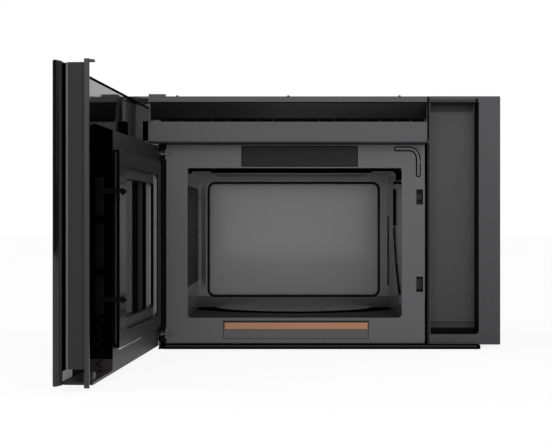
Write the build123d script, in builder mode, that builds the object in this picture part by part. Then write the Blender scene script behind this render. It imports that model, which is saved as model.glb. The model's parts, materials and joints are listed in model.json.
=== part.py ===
from build123d import *
from math import atan2, cos, degrees, hypot, radians, sin, sqrt
import os

os.makedirs("parts", exist_ok=True)

# An over-the-range microwave oven with a full-width door, drawn with the door swung open.
# +X is to the right of someone facing the oven, +Y points to the wall, +Z is up.
# The origin is the centre of the back, on the wall face. All sizes are in millimetres.

# ------------------------------------------------------------------ case
case_width = 759.0           # outside of the two case sides
flange_depth = 415.0         # wall face to the front of the cavity flange
sheet = 1.0                  # painted steel
case_bend = 4.0              # bend radius along the top edges of the case
skin = 2.5                   # wall of the moulded pieces
side_setback = 60.0          # left case side starts this far behind the flange

# ------------------------------------------------------------------ cooking cavity
cavity_width = 378.5
cavity_height = 262.0        # from the glass floor to the ceiling
cavity_depth = 295.0
cavity_shift = 16.25         # cavity centre to the right of the case centre
cavity_drop = 129.5          # case top down to the cavity ceiling
cavity_rise = 55.0           # case base up to the glass floor
cavity_corner = 6.0
floor_glass_thickness = 4.0
floor_ledge = 8.0            # ledge that carries the glass floor
antenna_space = 10.0         # height of the well under the glass floor
back_groove_inset = 19.0     # cavity wall to the pressed groove in the back
back_groove_width = 4.0
back_groove_depth = 2.5
back_groove_corner = 15.0

# ------------------------------------------------------------------ front flange
flange_left_margin = 40.0
flange_right_margin = 40.5
flange_top_margin = 46.0
flange_bottom_margin = 44.6
flange_return = 15.0         # depth of the folds behind the flange
slot_width = 12.0            # latch slots
slot_height = 27.0
slot_edge = 3.0              # slot to the right edge of the flange
slot_upper_drop = 48.5       # cavity ceiling down to the upper slot's centre
slot_pitch = 154.3           # upper to lower slot
conduit_width = 8.0          # raised bead by the upper right corner
conduit_height = 3.0

# ------------------------------------------------------------------ vent rail, right column, pocket
rail_reach = 43.0            # how far the rail stands proud of the flange
rail_overhang_left = 25.0    # rail beyond the flange's left edge
rail_overhang_right = 2.0
rail_top_gap = 4.0           # case top down to the rail's top
vent_height = 34.7
vent_drop = 9.7              # rail top down to the vent opening
grille_setback = 10.0        # rail front to the grille
grille_depth = 6.0
vent_slats = 5
vent_ribs = 17
charcoal_depth = 13.0
column_gap = 6.0             # flange to the column moulding
column_left_lip = 4.0
recess_width = 85.7
recess_depth = 42.0
recess_top_cove = 14.5       # radius where the recess's top meets its back
recess_base_cove = 17.0
recess_corner = 6.0          # lower corner on the right, seen from the front
strip_top_lip = 10.4
column_foot = 7.6            # case base up to the column's lower edge
column_bottom_lip = 18.5
corner_relief = 95.0         # lower right corner left open behind the column
pan_lip_height = 7.0
pan_lip_reach = 6.0
pocket_gap = 11.0            # flange's left edge to the pocket's wall
wing_clearance = 8.0         # round the door's wing in the pocket

# ------------------------------------------------------------------ door
door_thickness = 49.0        # glass face to the inner face
door_standoff = 9.0          # inner face to the flange, door closed
door_open = 93.4             # degrees, as far as the door swings
pivot_gap = 6.0              # flange's left edge to the hinge axis
pivot_reach = 5.0            # flange to the hinge axis
wing_side_room = 0.9         # between the wing's sweep and the case's side line
glass_thickness = 5.0
carrier_thickness = 3.5      # black backing plate behind the glass
glass_top_drop = 7.3         # case top to the glass's top edge
glass_base_rise = 7.0
core_right_margin = 9.5      # cavity's right side to the core's right wall
core_top_gap = 6.0           # rail underside to the core's top
core_base_rise = 7.0
core_pivot_gap = 5.0         # hinge axis to the core's left wall
wall_bar = 3.0               # thin walls of the door frame
bar_thickness = 4.0
end_bar_width = 12.0
end_bar_top_drop = 9.5
end_bar_base_rise = 28.9
finger_gap = 9.5             # carrier to the end bar's panel
end_trim_width = 23.5
end_trim_thickness = 7.0
trim_top_drop = 6.2
trim_base_rise = 5.5
catch_width = 7.0            # small catch at the trim's top
catch_height = 6.5
catch_reach = 6.0
cover_overlap_left = 15.0    # window cover beyond the cavity opening
cover_overlap_right = 6.5
cover_overlap_top = 13.0
cover_overlap_base = 13.0
cover_thickness = 8.0
cover_corner = 10.0
window_side_inset_left = 23.0    # window cover's edge to the recess
window_side_inset_right = 62.0
window_top_inset = 24.0
window_base_inset = 22.0
window_ledge = 16.0
window_first_step = 6.4
window_second_step = 7.8
window_corner = 12.0
tub_wall = 2.0
pane_thickness = 3.0
pane_overlap = 6.0
screen_thickness = 0.8
screen_gap = 2.0
hinge_pin_radius = 2.5
hinge_eye_radius = 4.5
hinge_leaf_thickness = 3.0
hinge_top_drop = 19.0        # flange top down to the upper hinge
hinge_base_rise = 16.5       # flange bottom up to the lower hinge
running_fit = 0.05           # radial clearance of pins and shafts
body_gap = 0.3               # between pieces that move past each other

# ------------------------------------------------------------------ latch
hook_thickness = 6.0
hook_reach = 15.0            # hook tip behind the flange, door closed
hook_height = 12.0
hook_bar_depth = 10.0
hook_spring_radius = 4.0
hook_spring_wire = 0.9
hook_spring_turns = 6
switch_length = 28.0
switch_thickness = 9.6
plunger_reach = 3.2
plunger_radius = 1.6

# ------------------------------------------------------------------ machinery
filter_width = 189.0
filter_depth = 127.0
filter_thickness = 9.0
filter_clearance = 1.0
filter_rear_gap = 18.0       # back panel to the filters
filter_centre_x = 135.0
lamp_spacing = 270.0
lamp_lens_width = 76.0
lamp_lens_depth = 50.0
lamp_rear = 45.0             # flange to the lamp lens's front edge
exhaust_width = 254.0        # the usual 3 1/4 by 10 inch duct
exhaust_depth = 82.5
exhaust_rear_gap = 46.5
wheel_radius = 40.0
wheel_width = 58.0
wheel_blades = 18
scroll_radius = 52.0
scroll_wall = 1.5
blower_motor_width = 76.0
blower_rise = 2.0            # cavity roof to the blower's scroll
shaft_radius = 4.0
fan_side_gap = 10.0          # case side to the fan's shroud
fan_cavity_gap = 26.0        # cavity wall to the fan's shroud
fan_tip_gap = 14.0           # blade tips to the shroud's outside
fan_drop = 83.0              # cavity ceiling down to the fan's axis
fan_depth = 64.0             # wall face to the fan's plate
fan_blades = 5
transformer_width = 96.0
transformer_side_gap = 41.0  # case side to the transformer
board_length = 170.0
board_height = 190.0
board_drop = 70.0            # cavity ceiling down to the control board's middle
board_standoff = 12.0
line_filter_width = 60.0
line_filter_length = 90.0
line_filter_side_gap = 80.0
lamp_box_height = 24.0
waveguide_width = 90.0
waveguide_height = 24.0
antenna_radius = 70.0
bolt_spacing = 640.0         # the two cabinet bolts
bolt_hole_radius = 3.6
bolt_rear = 225.0            # wall face to the cabinet bolts
tab_slot_width = 26.0        # wall plate tabs
tab_slot_height = 6.0
cord_bore_radius = 5.0

# ------------------------------------------------------------------ edges worked out from the sizes
half = case_width / 2
case_height = cavity_rise + cavity_height + cavity_drop
top = case_height / 2
base = -top
flange_y = -flange_depth
inside_top = top - sheet
inside_base = base + sheet
inside_side = half - sheet
inner_bend = case_bend - sheet

cavity_left = cavity_shift - cavity_width / 2
cavity_right = cavity_shift + cavity_width / 2
cavity_top = top - cavity_drop
cavity_floor = cavity_top - cavity_height
cavity_back = flange_y + cavity_depth
ledge_z = cavity_floor - floor_glass_thickness
well_z = ledge_z - antenna_space
cavity_underside = well_z - sheet
cavity_roof = cavity_top + sheet
well_y = (flange_y + cavity_back) / 2

flange_left = cavity_left - flange_left_margin
flange_right = cavity_right + flange_right_margin
flange_top = cavity_top + flange_top_margin
flange_base = cavity_floor - flange_bottom_margin
slot_x = flange_right - slot_edge - slot_width / 2
upper_slot_z = cavity_top - slot_upper_drop
lower_slot_z = upper_slot_z - slot_pitch

rail_front = flange_y - rail_reach
rail_left = flange_left - rail_overhang_left
rail_right = flange_right + rail_overhang_right
rail_top = top - rail_top_gap
vent_top = rail_top - vent_drop
vent_base = vent_top - vent_height

column_left = flange_right + column_gap
recess_left = column_left + column_left_lip
recess_right = recess_left + recess_width
column_base = base + column_foot
recess_base = column_base + column_bottom_lip
recess_top = top - strip_top_lip
case_front = flange_y + skin

pivot_x = flange_left - pivot_gap
pivot_y = flange_y - pivot_reach
inner_y = flange_y - door_standoff
outer_y = inner_y - door_thickness
carrier_y = outer_y + glass_thickness
frame_y = carrier_y + carrier_thickness
wing_radius = half + pivot_x - wing_side_room
glass_left = pivot_x - sqrt(wing_radius**2 - (pivot_y - outer_y) ** 2)
glass_right = half
glass_top = top - glass_top_drop
glass_base = base + glass_base_rise
core_left = pivot_x + core_pivot_gap
core_right = cavity_right + core_right_margin
core_top = flange_top - core_top_gap
core_base = base + core_base_rise

cover_left = cavity_left - cover_overlap_left
cover_right = cavity_right + cover_overlap_right
cover_top = cavity_top + cover_overlap_top
cover_base = cavity_floor - cover_overlap_base
cover_y = inner_y + cover_thickness
window_left = cover_left + window_side_inset_left
window_right = cover_right - window_side_inset_right
window_top = cover_top - window_top_inset
window_base = cover_base + window_base_inset
ledge_y = cover_y - window_first_step
pane_y = ledge_y - window_second_step
screen_y = pane_y - pane_thickness - screen_gap

trim_left = glass_right - end_trim_width
bar_right = trim_left + end_bar_width
bar_y = inner_y - end_trim_thickness
bar_front = frame_y + finger_gap
trim_top = top - trim_top_drop

pocket_x = flange_left - pocket_gap
pocket_rear = pivot_y + wing_radius + wing_clearance
upper_hinge_z = flange_top - hinge_top_drop
lower_hinge_z = flange_base + hinge_base_rise

exhaust_y = -exhaust_rear_gap - exhaust_depth / 2
blower_z = cavity_roof + blower_rise + scroll_radius
blower_y = exhaust_y - exhaust_depth / 2 + scroll_radius - scroll_wall
waveguide_base = cavity_underside - waveguide_height

hinge_axis = Axis((pivot_x, pivot_y, 0), (0, 0, 1))
case_pieces = {}
door_pieces = {}


def facing(y):
    """Plane across the oven at depth y, seen from the front: its x is X, its y is Z."""
    return Plane.XZ.offset(-y)


def across(x):
    """Plane from front to back at x: its x is Y, its y is Z."""
    return Plane.YZ.offset(x)


def level(z):
    """Horizontal plane at height z."""
    return Plane.XY.offset(z)


def span(x0, x1, y0, y1, radius=0.0, mode=Mode.ADD):
    """Rectangle between two pairs of edges, rounded where a radius is given."""
    with Locations(((x0 + x1) / 2, (y0 + y1) / 2)):
        if radius > 0:
            RectangleRounded(abs(x1 - x0), abs(y1 - y0), radius, mode=mode)
        else:
            Rectangle(abs(x1 - x0), abs(y1 - y0), mode=mode)


# ================================================================== case
# Case wrapper: top and both sides folded from one sheet, open at the front, back and bottom.
# The left side starts behind the flange, because the door's wing swings past there.
with BuildPart() as outer_case:
    with BuildSketch(facing(0)):
        span(-half, half, base, top)
    extrude(amount=-case_front)
    upper_edges = outer_case.edges().filter_by(Axis.Y).group_by(Axis.Z)[-1]
    fillet(upper_edges, case_bend)
    open_faces = outer_case.faces().filter_by(Axis.Y) + outer_case.faces().sort_by(Axis.Z)[0:1]
    offset(amount=-sheet, openings=open_faces)
    with BuildSketch(across(-half)):
        span(case_front, flange_y + side_setback, base, top - case_bend)
    extrude(amount=sheet, mode=Mode.SUBTRACT)
    with BuildSketch(across(half)):
        span(case_front, flange_y + corner_relief, base, column_base)
    extrude(amount=-sheet, mode=Mode.SUBTRACT)
    with BuildSketch(level(inside_top)):
        with Locations((0, exhaust_y)):
            Rectangle(exhaust_width, exhaust_depth)
        with Locations((-bolt_spacing / 2, -bolt_rear), (bolt_spacing / 2, -bolt_rear)):
            Circle(bolt_hole_radius)
        with Locations((half - 50, -45)):
            Circle(cord_bore_radius + skin + 1)
    extrude(amount=sheet, mode=Mode.SUBTRACT)
case_pieces["outer_case"] = outer_case

# Back panel, flat to the wall, with pressed stiffening beads and slots for the wall plate's tabs.
bead_height = case_height - 150
with BuildPart() as back_panel:
    with BuildSketch(facing(0)) as panel_outline:
        span(-inside_side, inside_side, inside_base, inside_top)
        fillet(panel_outline.vertices().group_by(Axis.Y)[-1], inner_bend)
    extrude(amount=sheet)
    with BuildSketch(facing(-sheet)):
        with GridLocations(case_width / 5, 1, 4, 1):
            RectangleRounded(16, bead_height, 7.5)
    extrude(amount=2.5, taper=20)
    with BuildSketch(facing(0)):
        with GridLocations(case_width / 5, 1, 4, 1):
            RectangleRounded(11, bead_height - 5, 5)
    extrude(amount=2.0, mode=Mode.SUBTRACT)
    with BuildSketch(facing(0)):
        with Locations((0, base + 20)):
            with GridLocations(case_width / 5, 1, 4, 1):
                Rectangle(tab_slot_width, tab_slot_height)
    extrude(amount=sheet, mode=Mode.SUBTRACT)
case_pieces["back_panel"] = back_panel

# Base pan with its rolled front lip, collars for two grease filters, and lamp openings.
# A corner is left open for the door's wing.
filter_y = -filter_rear_gap - filter_depth / 2
lamp_y = flange_y + lamp_rear + lamp_lens_depth / 2
filter_places = [(-filter_centre_x, filter_y), (filter_centre_x, filter_y)]
lamp_places = [(cavity_shift - lamp_spacing / 2, lamp_y), (cavity_shift + lamp_spacing / 2, lamp_y)]
pan_front = flange_y - pan_lip_reach / 2
with BuildPart() as base_pan:
    with BuildSketch(level(base)):
        span(-inside_side, inside_side, pan_front, -sheet)
        span(-half - 1, pocket_x - 1, flange_y - 20, pocket_rear - sheet, mode=Mode.SUBTRACT)
        span(recess_right, half + 1, flange_y - 20, flange_y + corner_relief, mode=Mode.SUBTRACT)
    extrude(amount=sheet)
    with BuildSketch(level(base)):
        with Locations(filter_places):
            Rectangle(filter_width + 6, filter_depth + 6)
    extrude(amount=filter_thickness + 2 * sheet)
    with BuildSketch(level(base)):
        with Locations(filter_places):
            Rectangle(filter_width + 2 * filter_clearance, filter_depth + 2 * filter_clearance)
    extrude(amount=filter_thickness + sheet, mode=Mode.SUBTRACT)
    with BuildSketch(level(base)):
        with Locations(filter_places):
            Rectangle(filter_width - 16, filter_depth - 16)
    extrude(amount=filter_thickness + 3 * sheet, mode=Mode.SUBTRACT)
    with BuildSketch(level(base)):
        with Locations(lamp_places):
            RectangleRounded(lamp_lens_width - 6, lamp_lens_depth - 6, 4)
    extrude(amount=sheet, mode=Mode.SUBTRACT)
    with BuildSketch(across(flange_left)):
        span(flange_y - pan_lip_reach, flange_y, base, base + pan_lip_height, radius=2.5)
    extrude(amount=recess_right + 2 - flange_left)
case_pieces["base_pan"] = base_pan

# Front flange of the cavity: folded sheet with the oven opening and two latch slots.
with BuildPart() as cavity_front:
    with BuildSketch(across(flange_left)):
        span(flange_y, flange_y + sheet, flange_base, flange_top)
        span(flange_y, flange_y + flange_return, flange_top - sheet, flange_top)
        span(flange_y, flange_y + flange_return, flange_base, flange_base + sheet)
        span(flange_y + flange_return - sheet, flange_y + flange_return, inside_base, flange_base)
    extrude(amount=flange_right - flange_left)
    with BuildSketch(facing(flange_y)):
        span(cavity_left, cavity_right, cavity_floor, cavity_top, radius=cavity_corner)
        with Locations((slot_x, upper_slot_z), (slot_x, lower_slot_z)):
            Rectangle(slot_width, slot_height)
    extrude(amount=-sheet, mode=Mode.SUBTRACT)
case_pieces["cavity_front"] = cavity_front

# Cooking cavity: pressed steel box with a grooved back, a ledge for the glass floor and a well
# under it for the rotating antenna.
coupling_radius = 20.0
with BuildPart() as cavity_box:
    with BuildSketch(facing(flange_y + sheet)):
        span(cavity_left - sheet, cavity_right + sheet, cavity_underside, cavity_roof, radius=3)
    extrude(amount=-(cavity_depth))
    with BuildSketch(facing(flange_y + sheet)) as cavity_section:
        span(cavity_left, cavity_right, ledge_z, cavity_top)
        fillet(cavity_section.vertices().group_by(Axis.Y)[-1], cavity_corner)
    extrude(amount=-(cavity_depth - sheet), mode=Mode.SUBTRACT)
    with BuildSketch(level(ledge_z)):
        span(
            cavity_left + floor_ledge,
            cavity_right - floor_ledge,
            flange_y + sheet + floor_ledge,
            cavity_back - floor_ledge,
            radius=10,
        )
    extrude(amount=-antenna_space, mode=Mode.SUBTRACT)
    # pressed groove round the back wall: a bead behind and a channel in front
    for inset, plane_y, depth, mode in (
        (-sheet, cavity_back + sheet, -back_groove_depth, Mode.ADD),
        (0.0, cavity_back, -back_groove_depth, Mode.SUBTRACT),
    ):
        edge = back_groove_inset + inset
        with BuildSketch(facing(plane_y)):
            span(
                cavity_left + edge,
                cavity_right - edge,
                cavity_floor + edge + 2,
                cavity_top - edge + 4,
                radius=back_groove_corner - inset,
            )
            rim = edge + back_groove_width - 2 * inset
            span(
                cavity_left + rim,
                cavity_right - rim,
                cavity_floor + rim + 2,
                cavity_top - rim + 4,
                radius=back_groove_corner - inset - back_groove_width + 2 * inset,
                mode=Mode.SUBTRACT,
            )
        extrude(amount=depth, mode=mode)
    with BuildSketch(level(well_z)):
        with Locations((cavity_shift, well_y)):
            Circle(coupling_radius)
    extrude(amount=-sheet, mode=Mode.SUBTRACT)
case_pieces["cavity_box"] = cavity_box

# Glass floor that lies on the ledge, flush with the opening's lower edge.
glass_gap = 0.4
with BuildPart() as floor_glass:
    with BuildSketch(level(ledge_z)):
        span(
            cavity_left + glass_gap,
            cavity_right - glass_gap,
            flange_y + sheet + glass_gap,
            cavity_back - glass_gap,
            radius=5,
        )
    extrude(amount=floor_glass_thickness)
    chamfer(floor_glass.faces().sort_by(Axis.Z)[-1].edges(), 0.8)
case_pieces["floor_glass"] = floor_glass

# Dark cover under the cavity ceiling.
ceiling_cover_inset = 38.0
with BuildPart() as ceiling_cover:
    with BuildSketch(level(cavity_top)):
        span(
            cavity_left + ceiling_cover_inset,
            cavity_right - ceiling_cover_inset - 11,
            flange_y + 12,
            cavity_back - 25,
            radius=14,
        )
    extrude(amount=-3)
    chamfer(ceiling_cover.faces().sort_by(Axis.Z)[0].edges(), 1.5)
case_pieces["ceiling_cover"] = ceiling_cover

# Cover on the right cavity wall, with a bowed front edge and slots for light and air.
side_cover_front = flange_y + 82
side_cover_rear = cavity_back - 20
side_cover_base = cavity_floor + 26
side_cover_top = cavity_top - 30
with BuildPart() as side_cover:
    with BuildSketch(across(cavity_right)):
        with BuildLine():
            Polyline(
                (side_cover_front, side_cover_base),
                (side_cover_rear, side_cover_base),
                (side_cover_rear, side_cover_top),
                (side_cover_front + 96, side_cover_top),
            )
            ThreePointArc(
                (side_cover_front + 96, side_cover_top),
                (side_cover_front + 24, (side_cover_base + side_cover_top) / 2 + 20),
                (side_cover_front, side_cover_base),
            )
        make_face()
        with Locations((side_cover_rear - 60, side_cover_top - 45)):
            with GridLocations(12, 1, 6, 1):
                SlotOverall(44, 4, rotation=90, mode=Mode.SUBTRACT)
    extrude(amount=-1.6)
case_pieces["side_cover"] = side_cover

# Raised L-shaped bead by the flange's upper right corner, with a small stop beside it.
bead_x = slot_x + 3.3
bead_z = flange_top - 10.5
bead_turn = 8.5              # the bend runs across this much of the corner
bead_start = cavity_right - 9.0
bead_end = cavity_top - 8.0
bead_path = [
    (bead_start, bead_z),
    (bead_x - bead_turn, bead_z),
    (bead_x, bead_z - bead_turn),
    (bead_x, bead_end),
]
with BuildPart() as flange_bead:
    with BuildSketch(facing(flange_y)):
        for (x0, z0), (x1, z1) in zip(bead_path, bead_path[1:]):
            with Locations(((x0 + x1) / 2, (z0 + z1) / 2)):
                SlotCenterToCenter(
                    hypot(x1 - x0, z1 - z0),
                    conduit_width,
                    rotation=degrees(atan2(z1 - z0, x1 - x0)),
                )
        span(bead_x, flange_right - 0.2, bead_z - 28, bead_z - 22)
    extrude(amount=conduit_height)
    chamfer(flange_bead.faces().sort_by(Axis.Y)[0].edges(), 0.9)
case_pieces["flange_bead"] = flange_bead

# Two bare plates on the flange, above and below the opening.
plate_thickness = 0.5
with BuildPart() as upper_plate:
    with BuildSketch(facing(flange_y)):
        span(cavity_left + 95, cavity_right - 77.5, cavity_top + 5, flange_top - 4, radius=1.5)
    extrude(amount=plate_thickness)
case_pieces["upper_plate"] = upper_plate

with BuildPart() as lower_plate:
    with BuildSketch(facing(flange_y)):
        span(cavity_left + 63, cavity_right - 58.5, flange_base + 7, cavity_floor - 5, radius=1.5)
    extrude(amount=plate_thickness)
case_pieces["lower_plate"] = lower_plate

# Moulded vent rail that stands proud above the flange, closed at its ends, open at the back.
tongue = 15.0
with BuildPart() as vent_rail:
    with BuildSketch(across(rail_left)) as rail_section:
        span(rail_front, flange_y, flange_top, rail_top)
        fillet(rail_section.vertices().group_by(Axis.X)[0], 2.0)
        span(
            rail_front + skin,
            flange_y + 1,
            flange_top + skin,
            rail_top - skin,
            mode=Mode.SUBTRACT,
        )
    extrude(amount=rail_right - rail_left)
    for plane_x in (rail_left, rail_right - skin):
        with BuildSketch(across(plane_x)):
            span(rail_front + 1, flange_y, flange_top + 1, rail_top - 1)
        extrude(amount=skin)
    # tongues over the flange's fold and under the case top
    with BuildSketch(across(rail_left)):
        span(flange_y, flange_y + tongue - 1, flange_top, flange_top + skin)
        span(flange_y - 6, flange_y, rail_top - skin, inside_top)
        span(flange_y - 6, flange_y + tongue, inside_top - skin, inside_top)
    extrude(amount=rail_right - rail_left)
    with BuildSketch(facing(rail_front)):
        span(rail_left - 1, rail_right + 1, vent_base, vent_top)
    extrude(amount=-(grille_setback - 0.5), mode=Mode.SUBTRACT)
    with BuildSketch(level(rail_top - 0.5)):
        span(rail_left, rail_left + 29, rail_front + 3, rail_front + 24, radius=2)
    extrude(amount=rail_top_gap + 0.5)
case_pieces["vent_rail"] = vent_rail

# Vent grille behind the slot: a frame from floor to roof, with level slats and upright ribs.
grille_front = rail_front + grille_setback
grille_left = rail_left + skin + body_gap
grille_right = rail_right - skin - body_gap
with BuildPart() as vent_grille:
    with BuildSketch(facing(grille_front)):
        span(grille_left, grille_right, flange_top + skin, rail_top - skin)
        span(grille_left + 4, grille_right - 4, vent_base + 1, vent_top - 1, mode=Mode.SUBTRACT)
    extrude(amount=-grille_depth)
    with BuildSketch(across(grille_left + 3)):
        with Locations((grille_front + grille_depth / 2, (vent_base + vent_top) / 2)):
            with GridLocations(1, vent_height / (vent_slats + 1), 1, vent_slats):
                Rectangle(grille_depth - 1, 1.6, rotation=-24)
    extrude(amount=grille_right - grille_left - 6)
    with BuildSketch(facing(grille_front + 1)):
        with Locations(((grille_left + grille_right) / 2, (vent_base + vent_top) / 2)):
            with GridLocations((grille_right - grille_left) / (vent_ribs + 1), 1, vent_ribs, 1):
                Rectangle(1.6, vent_height)
    extrude(amount=-(grille_depth - 2))
case_pieces["vent_grille"] = vent_grille

# Charcoal filter that stands on the rail's floor behind the grille: a framed pleated pad.
charcoal_front = grille_front + grille_depth + 2
with BuildPart() as charcoal_filter:
    pad_left = rail_left + 30
    pad_right = rail_right - 30
    pad_base = flange_top + skin
    pad_top = rail_top - skin - 2
    with BuildSketch(facing(charcoal_front)):
        span(pad_left, pad_right, pad_base, pad_top)
        span(pad_left + 4, pad_right - 4, pad_base + 4, pad_top - 4, mode=Mode.SUBTRACT)
    extrude(amount=-charcoal_depth)
    with BuildSketch(level(pad_base + 3)):
        pleats = 24
        pleat_pitch = (pad_right - pad_left - 6) / pleats
        crests = []
        for i in range(pleats + 1):
            crests.append((pad_left + 3 + i * pleat_pitch, charcoal_front + (3 if i % 2 else 9)))
        rear = [(x, y + 1.5) for x, y in reversed(crests)]
        with BuildLine():
            Polyline(*crests, *rear, close=True)
        make_face()
    extrude(amount=pad_top - pad_base - 6)
case_pieces["charcoal_filter"] = charcoal_filter

# Right column: an L of flat strip round a deep recess whose top and bottom are coved, with a
# floor behind the strip's foot where the case's corner is open.
with BuildPart() as recess_form:
    with BuildSketch(across(recess_left)) as recess_section:
        span(flange_y - 1, flange_y + recess_depth, recess_base, recess_top)
        rear_corners = recess_section.vertices().group_by(Axis.X)[-1].sort_by(Axis.Y)
        fillet(rear_corners[-1], recess_top_cove)
        fillet(rear_corners[0], recess_base_cove)
    extrude(amount=recess_width)
    with BuildSketch(facing(flange_y - 1)) as recess_outline:
        span(recess_left, recess_right, recess_base, recess_top)
        fillet(recess_outline.vertices().group_by(Axis.X)[-1].sort_by(Axis.Y)[0], recess_corner)
    extrude(amount=-(recess_depth + 2), mode=Mode.INTERSECT)
with BuildPart() as right_column:
    with BuildSketch(facing(case_front)):
        span(column_left, half, column_base, top, radius=2)
    extrude(amount=skin)
    with BuildSketch(across(recess_left - skin)):
        span(flange_y, flange_y + recess_depth + skin, recess_base - skin, inside_top)
    extrude(amount=recess_width + 2 * skin)
    with BuildSketch(level(column_base)):
        span(recess_right + body_gap, inside_side - body_gap, flange_y, flange_y + corner_relief - body_gap)
    extrude(amount=skin)
    add(recess_form.part, mode=Mode.SUBTRACT)
case_pieces["right_column"] = right_column

# Left pocket: wall and rear wall folded from one sheet, with a fold behind the flange's edge.
with BuildPart() as pocket_wall:
    with BuildSketch(level(inside_base)):
        span(pocket_x, pocket_x + sheet, flange_y + sheet, pocket_rear)
        span(-inside_side, pocket_x + sheet, pocket_rear - sheet, pocket_rear)
        span(pocket_x, flange_left + 8, flange_y + sheet, flange_y + 2 * sheet)
    extrude(amount=inside_top - inside_base)
    outer_corner = pocket_wall.edges().filter_by(Axis.Y).group_by(Axis.X)[0].sort_by(Axis.Z)[-1]
    fillet(outer_corner, inner_bend)
    with BuildSketch(facing(flange_y)):
        span(pocket_x - 1, flange_left + 9, flange_top - sheet, inside_top + 1)
    extrude(amount=-(tongue + 1), mode=Mode.SUBTRACT)
    with BuildSketch(facing(flange_y)):
        span(pocket_x + sheet, flange_left + 9, inside_base, flange_base + sheet)
    extrude(amount=-(tongue + 1), mode=Mode.SUBTRACT)
case_pieces["pocket_wall"] = pocket_wall

# ================================================================== hinges
# Each hinge has a fixed leaf on the flange, a leaf let into the door and a pin through both.
hinge_heights = [upper_hinge_z, lower_hinge_z]
leaf_rise = hinge_leaf_thickness / 2 + body_gap
with BuildPart() as hinge_brackets:
    for height in hinge_heights:
        with BuildSketch(level(height - hinge_leaf_thickness / 2)):
            with Locations((pivot_x, pivot_y)):
                Circle(hinge_eye_radius)
            span(pivot_x, flange_left + 14, flange_y - 6, flange_y)
            with Locations((pivot_x, pivot_y)):
                Circle(hinge_pin_radius + running_fit, mode=Mode.SUBTRACT)
        extrude(amount=hinge_leaf_thickness)
        with BuildSketch(facing(flange_y)):
            span(flange_left + 0.5, flange_left + 14, height - 9, height + 9, radius=1.5)
        extrude(amount=1.5)
case_pieces["hinge_brackets"] = hinge_brackets

with BuildPart() as hinge_leaves:
    for height in hinge_heights:
        with BuildSketch(level(height + leaf_rise)):
            with Locations((pivot_x, pivot_y)):
                Circle(hinge_eye_radius)
            span(pivot_x, core_left + 24, inner_y - 12, pivot_y - 1)
            with Locations((pivot_x, pivot_y)):
                Circle(hinge_pin_radius, mode=Mode.SUBTRACT)
        extrude(amount=hinge_leaf_thickness)
door_pieces["hinge_leaves"] = hinge_leaves

with BuildPart() as hinge_pins:
    for height in hinge_heights:
        with BuildSketch(level(height - hinge_leaf_thickness / 2 - 2)):
            with Locations((pivot_x, pivot_y)):
                Circle(hinge_pin_radius)
        extrude(amount=leaf_rise + 1.5 * hinge_leaf_thickness + 2)
        with BuildSketch(level(height + leaf_rise + hinge_leaf_thickness)):
            with Locations((pivot_x, pivot_y)):
                Circle(hinge_pin_radius + 1)
        extrude(amount=1.2)
door_pieces["hinge_pins"] = hinge_pins

# ================================================================== door, drawn closed
# Front glass with ground edges; its left end is the wing that swings into the pocket.
with BuildPart() as door_glass:
    with BuildSketch(facing(carrier_y)):
        span(glass_left, glass_right, glass_base, glass_top, radius=2.5)
    extrude(amount=glass_thickness)
    chamfer(door_glass.faces().sort_by(Axis.Y)[0].edges(), 1.0)
door_pieces["door_glass"] = door_glass

# Black backing plate behind the glass, open at the window.
with BuildPart() as glass_carrier:
    with BuildSketch(facing(frame_y)):
        span(glass_left + 0.8, glass_right - 0.8, glass_base + 0.8, glass_top - 0.8, radius=2)
        span(window_left, window_right, window_base, window_top, radius=4, mode=Mode.SUBTRACT)
    extrude(amount=carrier_thickness)
door_pieces["glass_carrier"] = glass_carrier

# Door frame: the deep core round the window, the thin walls of the hollow on its right,
# and the end bar with the finger gap behind the glass.
tub_left = window_left - tub_wall
tub_right = window_right + tub_wall
tub_base = window_base - tub_wall
tub_top = window_top + tub_wall
lug_x = trim_left - 30
with BuildPart() as door_frame:
    with BuildSketch(facing(inner_y)):
        span(core_left, core_right, core_base, core_top, radius=3)
        span(tub_left, tub_right, tub_base, tub_top, radius=window_corner + tub_wall, mode=Mode.SUBTRACT)
    extrude(amount=inner_y - frame_y)
    with BuildSketch(facing(inner_y)):
        span(core_right - 3, trim_left, core_top - wall_bar, core_top)
        span(core_right - 3, trim_left, core_base, core_base + bar_thickness)
    extrude(amount=inner_y - frame_y)
    with BuildSketch(facing(bar_y)):
        span(trim_left, bar_right, base + end_bar_base_rise, top - end_bar_top_drop, radius=1.5)
    extrude(amount=bar_y - bar_front)
    with BuildSketch(facing(bar_front)):
        span(trim_left, trim_left + wall_bar, base + end_bar_base_rise, top - end_bar_top_drop)
    extrude(amount=bar_front - frame_y)
    # rounded lug on the bottom bar
    with BuildSketch(facing(inner_y - 4)):
        with Locations((lug_x, core_base + bar_thickness)):
            Circle(11)
        span(lug_x - 14, lug_x + 14, core_base - 14, core_base, mode=Mode.SUBTRACT)
    extrude(amount=14)
    # pockets for the hinge leaves
    for height in hinge_heights:
        with BuildSketch(level(height + leaf_rise)):
            span(core_left - 1, core_left + 24, inner_y - 12, inner_y)
        extrude(amount=hinge_leaf_thickness, mode=Mode.SUBTRACT)
    # guides for the latch hook bar on the core's right wall
    for guide_z in (upper_slot_z - 40, lower_slot_z + 40):
        with BuildSketch(level(guide_z - 5)):
            span(core_right - 1, slot_x + hook_thickness / 2 + 4, inner_y - 24, inner_y - 6)
            span(
                slot_x - hook_thickness / 2 - body_gap,
                slot_x + hook_thickness / 2 + body_gap,
                inner_y - 20 - body_gap,
                inner_y - 20 + hook_bar_depth + body_gap,
                mode=Mode.SUBTRACT,
            )
        extrude(amount=10)
door_pieces["door_frame"] = door_frame

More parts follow.
